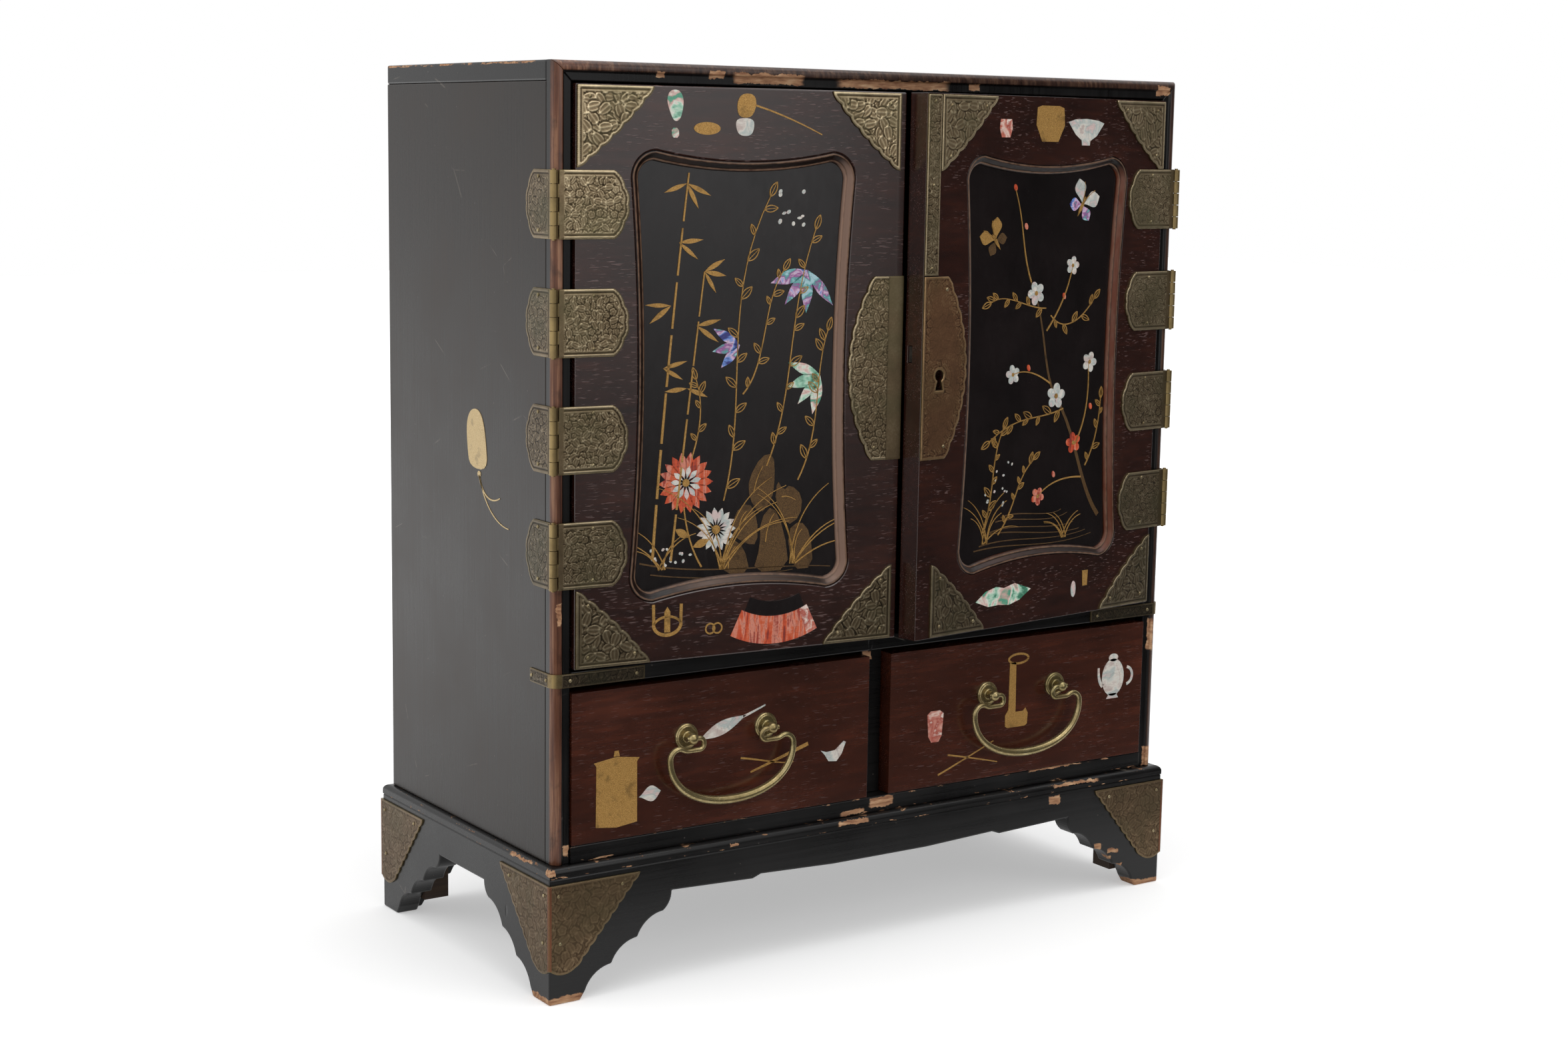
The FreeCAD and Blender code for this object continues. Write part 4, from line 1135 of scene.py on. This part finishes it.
def left_panel_picture():
    """Bamboo, a garden rock and chrysanthemums."""
    draw = random.Random("left panel")
    gold = bamboo([(-139, 214), (-133, 300), (-121, 399)], 1.6, 25)
    gold += bamboo([(-129, 212), (-121, 280), (-112, 352)], 1.3, 22)
    for x, z, angles in ((-122, 394, (-24, -62, 200)), (-126, 366, (6, -38)), (-130, 336, (178, 216)),
                         (-112, 352, (28, -10, -58)), (-116, 326, (12, -34)), (-121, 296, (-22, 186)),
                         (-134, 306, (-28, 14))):
        gold += fan_of_leaves(x, z, 14, 2.3, angles, draw)
    for points, count, size in (([(-100, 240), (-86, 290), (-104, 338), (-76, 388)], 12, 8),
                                ([(-90, 292), (-76, 306), (-80, 336), (-68, 352)], 7, 7),
                                ([(-76, 256), (-60, 290), (-66, 330), (-50, 372)], 10, 7.6),
                                ([(-58, 248), (-44, 272), (-50, 300), (-42, 322)], 7, 7),
                                ([(-118, 262), (-110, 284), (-116, 300)], 5, 6.4)):
        gold += spray(points, count, size, draw)
    for x, z, count, reach, lean in ((-100, 206, 9, 60, 88), (-60, 206, 6, 50, 66), (-134, 208, 5, 34, 96)):
        gold += grass(x, z, count, reach, lean, 0.7, draw)
    gold += [stroke([(-122, 238), (-120, 220), (-112, 208)], 0.7, 0.9), leaf(-119, 223, 9, 4, 150),
             leaf(-117, 218, 10, 4, 20)]
    rock = [
        [(-99, 203), (-101, 213), (-95, 221), (-88, 216), (-84.5, 203)],
        [(-94.6, 222.6), (-94, 233), (-86, 239), (-80.6, 230), (-80.6, 217), (-87, 217.6)],
        [(-85.6, 240.6), (-86, 250), (-79, 261), (-72, 262), (-71, 250), (-72.4, 239), (-79.4, 231.6)],
        [(-69.8, 249), (-66, 243), (-62, 246), (-55, 240), (-56, 229.4), (-64, 225), (-70.6, 237)],
        [(-83, 203), (-79, 215.4), (-79, 229.4), (-72, 236.6), (-65.2, 223), (-62, 203)],
        [(-60.4, 203), (-63.6, 222.6), (-56, 227.6), (-50, 221), (-48, 203)],
    ]
    rock_lines = [
        [(-97, 206), (-97, 213), (-93, 217)], [(-91, 225), (-91, 231), (-87, 234)],
        [(-83, 243), (-82, 250), (-78, 256)], [(-67, 240), (-64, 241), (-59, 238)],
        [(-76, 218), (-75, 228), (-71, 232)], [(-59, 208), (-60, 219), (-55, 223)],
    ]
    dim = [rounded(facet, 1) for facet in rock]
    dim += [stroke([(-146, 212), (-112, 203), (-74, 207), (-38, 203)], 0.8, 0.4),
            stroke([(-140, 206), (-100, 199), (-60, 203)], 0.6, 0.3)]
    gold += [stroke(line, 0.5, 0.25) for line in rock_lines]
    abalone = fan_of_leaves(-54, 352, 22, 6.4, (196, 232, 268, 310), draw)
    abalone += fan_of_leaves(-92, 316, 17, 5.2, (150, 190, 226), draw)
    green = fan_of_leaves(-46, 300, 20, 6.0, (160, 196, 228, 258), draw)
    coral = petals(-121, 250, 3.0, 12, 4.2, 18)
    pearl = petals(-121, 250, 2.0, 6.4, 2.6, 11, 12) + petals(-104, 226, 2.4, 8.6, 3.2, 15)
    pearl += dots(10, (-72, -56), (372, 392), 1.3, draw) + dots(16, (-142, -110), (209, 220), 1.0, draw)
    gold += [oval(-121, 250, 1.9, 1.9), oval(-104, 226, 2.2, 2.2)]
    return {"dim": dim, "gold": gold, "abalone": abalone, "green": green, "pearl": pearl, "coral": coral}


def right_panel_picture():
    """A blossoming branch and butterflies over a garden stream."""
    draw = random.Random("right panel")
    pearl, coral, abalone = [], [], []
    dim = [stroke([(143, 216), (126, 234), (124, 262), (106, 282)], 2.6, 1.7),
           stroke([(107, 281), (94, 296), (98, 322), (84, 344)], 1.7, 0.9)]
    gold = [stroke(line, 0.9, 0.4) for line in (
        [(84, 344), (76, 360), (78, 374), (70, 392)], [(122, 256), (134, 272), (131, 300)],
        [(101, 290), (84, 300), (72, 296)], [(97, 318), (112, 334), (116, 352)],
        [(128, 238), (106, 240), (94, 230)])]
    for points, count, size in (([(96, 330), (80, 330), (66, 340), (54, 334)], 7, 7),
                                ([(112, 276), (92, 270), (78, 276), (56, 262)], 9, 7.4),
                                ([(131, 244), (141, 258), (142, 280)], 5, 6.2),
                                ([(100, 326), (110, 316), (124, 322), (134, 334)], 5, 6.6),
                                ([(52, 214), (62, 236), (56, 250), (66, 268)], 8, 6.6),
                                ([(64, 212), (78, 226), (76, 240), (90, 250)], 7, 6.2)):
        gold += spray(points, count, size, draw)
    for x, z, radius, turn, flower in ((106, 283, 7, 12, pearl), (88, 338, 6.4, 40, pearl),
                                       (132, 300, 5.6, 70, pearl), (116, 352, 5, 5, pearl),
                                       (72, 296, 5.2, 30, pearl), (121, 257, 5.8, 30, coral),
                                       (94, 230, 5.0, 60, coral)):
        flower.extend(blossom(x, z, radius, turn))
        gold.append(oval(x, z, 0.2 * radius, 0.2 * radius, steps=12))
    for x, z in ((70, 393), (79, 373), (134, 276), (110, 336), (84, 299), (106, 241)):
        coral.append(oval(x, z, 1.2, 1.8, 20, 12))
    butterfly(122, 384, 14, 60, pearl, abalone, gold)
    butterfly(56, 366, 12, 128, gold, dim, gold)
    for line in range(6):
        level = 203 + 3.4 * line
        dim.append(stroke([(46 + 4 * line, level + draw.uniform(0, 3)), (76, level + 5), (104, level - 3),
                           (138 - 5 * line, level + draw.uniform(0, 4))], 0.7, 0.35))
    for x, z, count, reach, lean in ((54, 208, 7, 32, 74), (116, 206, 6, 26, 100)):
        gold += grass(x, z, count, reach, lean, 0.55, draw)
    pearl += dots(14, (52, 80), (226, 250), 0.9, draw)
    return {"dim": dim, "gold": gold, "pearl": pearl, "coral": coral, "abalone": abalone}


# Studio, in metres and watts, but in millimetres inside materials

FLOOR_REACH = 6.0
FLOOR_NEAR = 350.0
FLOOR_FAR = 1100.0
FLOOR_GLOW_NEAR = 0.4
FLOOR_GREY = 0.82
CARD_GREY = 0.04
CARD_LIFT = 0.002
CARD_HEIGHT = 2.4
CARD_DARK_TO = 1200.0
CARD_HALF_GLOW = 3300.0
SOFT_SKY = 0.45
CAMERA_PLACE = (-0.74494, -1.09208, 0.41349)
CAMERA_AZIMUTH = radians(-34.2554)
CAMERA_ELEVATION = radians(8.7715)
CAMERA_ROLL = radians(0.9273)
CAMERA_LENS = 56.31
CAMERA_SENSOR = 36


def seen_rays(tree):
    """One for camera, glossy and transmitted rays, and nought for the light that falls on things."""
    path = tree.nodes.new("ShaderNodeLightPath")
    total = path.outputs["Is Camera Ray"]
    for name in ("Is Glossy Ray", "Is Transmission Ray"):
        most = tree.nodes.new("ShaderNodeMath")
        most.operation = "MAXIMUM"
        tree.links.new(total, most.inputs[0])
        tree.links.new(path.outputs[name], most.inputs[1])
        total = most.outputs[0]
    return total


def sheet(name, corners, material):
    """A flat stage piece."""
    thing = placed(name, new_mesh(name, corners, [(0, 1, 2, 3)]))
    thing.data.materials.append(material)
    return thing


def floor():
    """Pale paper that glows to white further off."""
    shader = Shader("floor_paper")
    away = shader.vector("LENGTH", shader.place)
    glow = shader.span(away, FLOOR_NEAR, FLOOR_FAR, FLOOR_GLOW_NEAR, 1.0, smooth=False)
    shader.set(Base_Color=(FLOOR_GREY, FLOOR_GREY, FLOOR_GREY), Roughness=0.9, Specular_IOR_Level=0.1,
               Emission_Color=(1, 1, 1), Emission_Strength=glow * Value(shader, seen_rays(shader.tree)))
    corners = [(-1, -1), (1, -1), (1, 1), (-1, 1)]
    sheet("floor", [(FLOOR_REACH * x, FLOOR_REACH * y, 0) for x, y in corners], shader.material)


def dark_card(name, corners, paler=False):
    """A dark card outside the picture, which only reflections see, and which may grow paler further off."""
    shader = Shader(name)
    shader.set(Base_Color=(CARD_GREY, CARD_GREY, CARD_GREY), Specular_IOR_Level=0)
    if paler:
        away = shader.vector("LENGTH", shader.place)
        glow = (away - CARD_DARK_TO) / (away + CARD_HALF_GLOW)
        shader.set(Emission_Color=(1, 1, 1), Emission_Strength=shader.most(glow, 0))
    card = sheet(name, corners, shader.material)
    card.visible_camera = False
    card.visible_diffuse = False
    card.visible_shadow = False


def lamp(name, place, aim, size, watts):
    """A square soft box."""
    light = bpy.data.lights.new(name, "AREA")
    light.size = size
    light.energy = watts
    box = placed(name, light)
    box.location = place
    box.rotation_euler = (Vector(aim) - Vector(place)).to_track_quat("-Z", "Y").to_euler()


def sky():
    """White around the camera's view and in reflections, and softer as light."""
    world = bpy.data.worlds.new("studio")
    bpy.context.scene.world = world
    world.use_nodes = True
    tree = world.node_tree
    back = tree.nodes["Background"]
    back.inputs["Color"].default_value = (1, 1, 1, 1)
    level = tree.nodes.new("ShaderNodeMapRange")
    tree.links.new(seen_rays(tree), level.inputs[0])
    level.inputs["To Min"].default_value = SOFT_SKY
    tree.links.new(level.outputs[0], back.inputs["Strength"])


def photo_camera():
    """The camera where the photograph was taken from."""
    camera = placed("camera", bpy.data.cameras.new("camera"))
    camera.data.sensor_width = CAMERA_SENSOR
    camera.data.lens = CAMERA_LENS
    level = cos(CAMERA_ELEVATION)
    back = Vector((sin(CAMERA_AZIMUTH) * level, -cos(CAMERA_AZIMUTH) * level, sin(CAMERA_ELEVATION)))
    right = Vector((cos(CAMERA_AZIMUTH), sin(CAMERA_AZIMUTH), 0))
    up = back.cross(right)
    right_rolled = cos(CAMERA_ROLL) * right + sin(CAMERA_ROLL) * up
    up_rolled = cos(CAMERA_ROLL) * up - sin(CAMERA_ROLL) * right
    turn = Matrix((right_rolled, up_rolled, back)).transposed().to_4x4()
    camera.matrix_world = Matrix.Translation(CAMERA_PLACE) @ turn
    bpy.context.scene.camera = camera


def studio():
    """Pale floor, soft light, cards and camera."""
    bpy.context.scene.view_settings.view_transform = "Standard"
    floor()
    sky()
    lamp("soft_left", (-2.2, 0.3, 1.6), (-0.1, 0, 0.2), 2.2, 16)
    lamp("soft_top", (0.2, -0.3, 2.6), (0, 0, 0.2), 2.4, 34)
    lamp("soft_front", (1.0, -2.6, 1.5), (0, 0, 0.25), 1.6, 12)
    to_left = [(-0.9, -24), (12.5, -24), (0.115, -0.22), (-0.9, -0.22)]
    to_right = [(1.38, -2.65), (3.4, -0.7), (3.4, -0.22), (0.115, -0.22)]
    near, far = to_right[:2]
    dark_card("left_card", [(*corner, CARD_LIFT) for corner in to_left], paler=True)
    dark_card("right_card", [(*corner, CARD_LIFT) for corner in to_right])
    dark_card("wall_card", [(*near, 0), (*far, 0), (*far, CARD_HEIGHT), (*near, CARD_HEIGHT)])
    photo_camera()


# Lacquer and wood

def front_chips(y, deep, *spots):
    """Chips on a front at y, given by x, z, half width and half height."""
    return [((x, y, z), (half_width, deep, half_height)) for x, z, half_width, half_height in spots]


frame_chips = front_chips(
    -89, 8, (-135.6, 444.6, 2.6, 1.5), (-104.4, 445.4, 4.5, 1.8), (-74.4, 444.2, 21.5, 2.6),
    (1.3, 443.4, 36, 2.2), (52.4, 443.6, 3.4, 1.7), (183, 445, 5, 2.4), (188.6, 144, 2.2, 9.5),
    (189, 74, 2.4, 6), (-185.5, 74.5, 1.6, 3), (-190, 191, 1.2, 6))
rail_chips = front_chips(-89, 12, (-16, 70, 8, 1.2), (2.6, 73.2, 8, 2.8), (118, 76.4, 16, 0.5),
                         (-3, 150.5, 3, 2.6))
ledge_chips = front_chips(-93, 9, (-18, 66, 10, 1.2), (134, 66.4, 17, 0.8), (-92, 65, 3, 0.6))
ledge_chips += front_chips(-93, 4, (-197, 66, 3, 1.6)) + front_chips(-64, 12, (-197, 66.6, 4, 0.6))
plinth_chips = front_chips(-93, 6, (118.4, 59, 4, 2.6), (162.5, 23.4, 4.4, 1.3), (151, 27, 2.6, 2.6),
                           (159, 18.5, 2, 2.4), (168, 12.5, 2, 3))

black_sides = black_lacquer("black_lacquer_sides", (31, 24, 19), shine=0.245)
black_boards = black_lacquer("black_lacquer_boards", streaks="x")
black_top = black_lacquer("black_lacquer_top", streaks="x", rubbed=(449.2,), spared=0.48)
black_frame = black_lacquer("black_lacquer_frame", worn=frame_chips, bead=True)
black_rails = black_lacquer("black_lacquer_rails", streaks="x", worn=rail_chips, rubbed=(76.2, 68.8, 152.6))
black_ledge = black_lacquer("black_lacquer_ledge", streaks="x", worn=ledge_chips, rubbed=(67.4, 63.4))
black_plinth = black_lacquer("black_lacquer_plinth", streaks="x", worn=plinth_chips, soles=True)
door_maroon = maroon_lacquer("maroon_lacquer_doors", (27, 14, 11), (45, 21, 15), (64, 29, 17), 0.4)
drawer_maroon = maroon_lacquer("maroon_lacquer_drawers", (46, 20, 11), (66, 29, 16), (92, 41, 21), 0.11)
panel_black = panel_lacquer()
moulding_brown = moulding_lacquer()
wood = bare_wood("bare_wood_aged")
pivot = Vector(joints["right_door_hinge"]["pos_m"]) / MM
plinth_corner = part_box("base_corner_mounts")[1] / MM
# Painted highlight: pale gold along the hinge pin line, on the knuckle barrels
mount_brass = aged_brass("mount_brass_plain", (56, 44, 28), (108, 92, 64), (150, 134, 96), 0.36,
                         rubbed=((pivot.x, -pivot.y), 2.6, (140, 120, 80)))
engraved_brass = aged_brass("mount_brass_engraved", (45, 36, 24), (121, 104, 79), (203, 186, 152), 0.4,
                            True)
copper_brass = aged_brass("mount_brass_coppery", (57, 38, 26), (132, 96, 68), (204, 170, 124), 0.4, True)
# Painted shade: a darker copy of the engraved brass for the hinges' side leaves and the corner straps
shaded_side_brass = aged_brass("mount_brass_shaded_sides", (40, 32, 24), (82, 71, 56), (130, 115, 92), 0.42, True)
base_brass = aged_brass("mount_brass_base", (78, 61, 43), (112, 91, 67), (152, 129, 98), 0.44, True,
                        ((plinth_corner.x, plinth_corner.y), 1.7, (112, 70, 50)))
nail_brass = aged_brass("mount_brass_nails", (66, 56, 40), (120, 106, 78), (190, 176, 142), 0.34)
handle_brass = aged_brass("handle_brass_rubbed", (72, 60, 38), (142, 125, 86), (204, 188, 142), 0.26)

dress(black_sides, "side_panel_left", "side_panel_right", "back_panel")
dress(black_boards, "bottom_panel", "dust_board", "cupboard_shelf")
dress(black_top, "top_panel")
dress(black_frame, "front_frame_left", "front_frame_right", "front_frame_top")
dress(black_rails, "mid_rail", "bottom_rail", "drawer_divider")
dress(black_ledge, "plinth_ledge")
# Painted shade: the blocks inside the plinth and the battens inside the cupboard are darkened to 0.12 of the
# wood's colour
dress(bare_wood("bare_wood_painted_shade", 0.12), "plinth_blocks", "shelf_battens")
dress(mount_brass, "corner_straps", "base_corner_mounts", "hinge_pins", "right_door_meeting_strip")
dress(lock_iron(), "right_door_lock_case", "right_door_lock_bolt")
for side in sides:
    door = f"{side}_door_"
    drawer = f"{side}_drawer_"
    dress(panel_black, door + "panel")
    dress(moulding_brown, door + "panel_moulding")
    dress(mount_brass, door + "hinge_leaves", door + "corner_mounts", door + "lock_plate",
          f"{side}_hinge_side_leaves")
    dress(drawer_maroon, drawer + "front")
    dress(wood, drawer + "sides", drawer + "back", drawer + "bottom")
    dress(handle_brass, f"{side}_handle_posts", f"{side}_bail")
    rosettes(side)
    members = [door + part for part in ("hinge_stile", "top_rail", "meeting_stile", "bottom_rail")]
    fused(door + "frame", members, door_maroon, 0.7)
    soften_nodes(0.6, drawer + "front", f"side_panel_{side}")
fused("plinth_apron", ["plinth_front", "plinth_left", "plinth_back", "plinth_right"], black_plinth,
      0.9)
soften_nodes(0.5, "mid_rail", "bottom_rail", "drawer_divider", "back_panel", "front_frame_left",
             "front_frame_right", "front_frame_top")
soften_nodes(0.9, "top_panel")

# Brass mounts

HINGE = {"size": 4.0, "depth": 0.22, "rim": 1.4, "second": 1.2, "blossoms": 0.15}
HINGE_NAILS = [(0.5, 0.12), (0.5, 0.9)]
FRONT, LEFT, BACK, RIGHT = (0, -1, 0), (-1, 0, 0), (0, 1, 0), (1, 0, 0)
turns = {side: rest_turn(side) for side in sides}


def mounted(spots, *plates, **style):
    """Engraves plates, and gives their nails, which sit at the same spots on each."""
    return [head for plate in engraved(*plates, **style) for head in nails_at(plate, *spots)]


def across_from(share):
    """Where a corner mount's far nail sits, as a share of its width or height."""
    return 0.5 + 0.84 * (0.5 - share)


for side in sides:
    door = f"{side}_door_"
    hand = hands[side]
    is_left = side == "left"
    out = turns[side].to_3x3() @ Vector(FRONT)
    heads = []
    for plate in engraved(door + "corner_engraving", door + "corner_mounts", [out], 10 + hand, engraved_brass,
                          size=6.2, rim=1.5, second=1.1, second_on_straight=True):
        to_left, to_foot = crowded(plate)
        across = 0.16 if to_left else 0.84
        up = 0.14 if to_foot else 0.86
        heads += nails_at(plate, (across, up), (across_from(across), up), (across, across_from(up)))
    heads += mounted([(0.5, 0.07), (0.5, 0.93)], door + "lock_plate_engraving", door + "lock_plate", [out],
                     30 + hand, engraved_brass if is_left else copper_brass, size=4.4, blossoms=0.2, rim=1.5,
                     plain=8.5 if is_left else 0, worn=0.25 if is_left else 0.8)
    heads += mounted(HINGE_NAILS, door + "hinge_engraving", door + "hinge_leaves", [out], 50 + hand,
                     engraved_brass, plain=3.2, plain_end=hand, **HINGE)
    if not is_left:
        heads += mounted([(0.5, 0.04), (0.5, 0.5), (0.5, 0.96)], door + "strip_engraving",
                         door + "meeting_strip", [out], 90, engraved_brass, size=4.2, rim=1.0)
    nails(door + "nails", f"{side}_door", heads)
    reeded(door + "moulding_beads", door + "panel_moulding", out, moulding_brown)
    heads = mounted(HINGE_NAILS, f"{side}_side_leaf_engraving", f"{side}_hinge_side_leaves", [(hand, 0, 0)],
                    110 + hand, shaded_side_brass, plain=2.6, plain_end=-hand, **HINGE)
    nails(f"{side}_side_leaf_nails", "cabinet", heads)
heads = []
for plate in engraved("base_mount_engraving", "base_corner_mounts", [FRONT, LEFT, BACK, RIGHT], 130,
                      base_brass, spacing=0.6, size=5.8, depth=0.18, worn=0.3, blossoms=0.15):
    to_left = crowded(plate)[0]
    heads += nails_at(plate, *[(share if to_left else 1 - share, up)
                               for share, up in ((0.1, 0.88), (0.8, 0.9), (0.12, 0.35))])
heads += mounted([(0.1, 0.5), (0.9, 0.5)], "corner_strap_engraving", "corner_straps",
                 [FRONT, LEFT, RIGHT], 170, shaded_side_brass, size=3.8, rim=0.8)
nails("cabinet_nails", "cabinet", heads)

# Inlays

# How far each kind of inlay stands above a door panel, so that one lies over another
LAYERS = {"dim": 0.12, "abalone": 0.2, "green": 0.23, "coral": 0.26, "pearl": 0.29, "gold": 0.34}
MOTIF_HEIGHT = 0.22
inlay_materials = {
    "dim": gold_lacquer("gold_lacquer_dim", (62, 44, 26), (98, 72, 42), (134, 102, 60)),
    "gold": gold_lacquer("gold_lacquer_bright", (128, 92, 44), (181, 137, 70), (214, 173, 104)),
    "pearl": shell("pearl_white", [(196, 180, 172), (222, 216, 206), (178, 188, 184), (212, 190, 185)]),
    "abalone": shell("abalone_blue", [(56, 60, 124), (110, 146, 214), (216, 190, 212), (150, 84, 148),
                                      (84, 164, 160), (170, 206, 214)]),
    "green": shell("shell_green", [(70, 130, 104), (158, 206, 180), (224, 228, 214), (220, 176, 168),
                                   (90, 160, 132)]),
    "coral": shell("coral_red", [(140, 52, 40), (200, 74, 36), (206, 92, 52), (214, 138, 116),
                                 (160, 56, 38)], (0.3, 0.3, 0.05), 0.36),
    "pink": shell("shell_pink", [(196, 110, 92), (232, 204, 190), (206, 140, 124), (176, 84, 70),
                                 (236, 216, 204)]),
    "black": panel_black,
}


def inlaid(start, end, body, place, art, layered=False):
    """Inlays a picture as one piece for each material, named after it."""
    for kind, material in inlay_materials.items():
        if kind in art:
            height = LAYERS[kind] if layered else MOTIF_HEIGHT
            inlay(f"{start}_{kind}_{end}", body, place, art[kind], material, height)


for side in sides:
    turn = turns[side]
    rail = front_face(front_level(f"{side}_door_top_rail", turn), turn)
    bed = front_face(front_level(f"{side}_door_panel", turn), turn)
    chest = front_face(front_level(f"{side}_drawer_front"))
    picture = left_panel_picture() if side == "left" else right_panel_picture()
    inlaid(f"{side}_door", "motifs", f"{side}_door", rail, frame_motifs(side))
    inlaid(f"{side}_drawer", "motifs", f"{side}_drawer", chest, drawer_motifs(side))
    inlaid(f"{side}_panel", "inlay", f"{side}_door", bed, picture, layered=True)
pale_gold = gold_lacquer("gold_lacquer_pale", (150, 124, 80), (190, 164, 114), (214, 194, 150))
left_side = side_face(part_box("side_panel_left")[0].x / MM)
inlay("side_pouch_inlay", "cabinet", left_side, pouch(), pale_gold, MOTIF_HEIGHT)

studio()
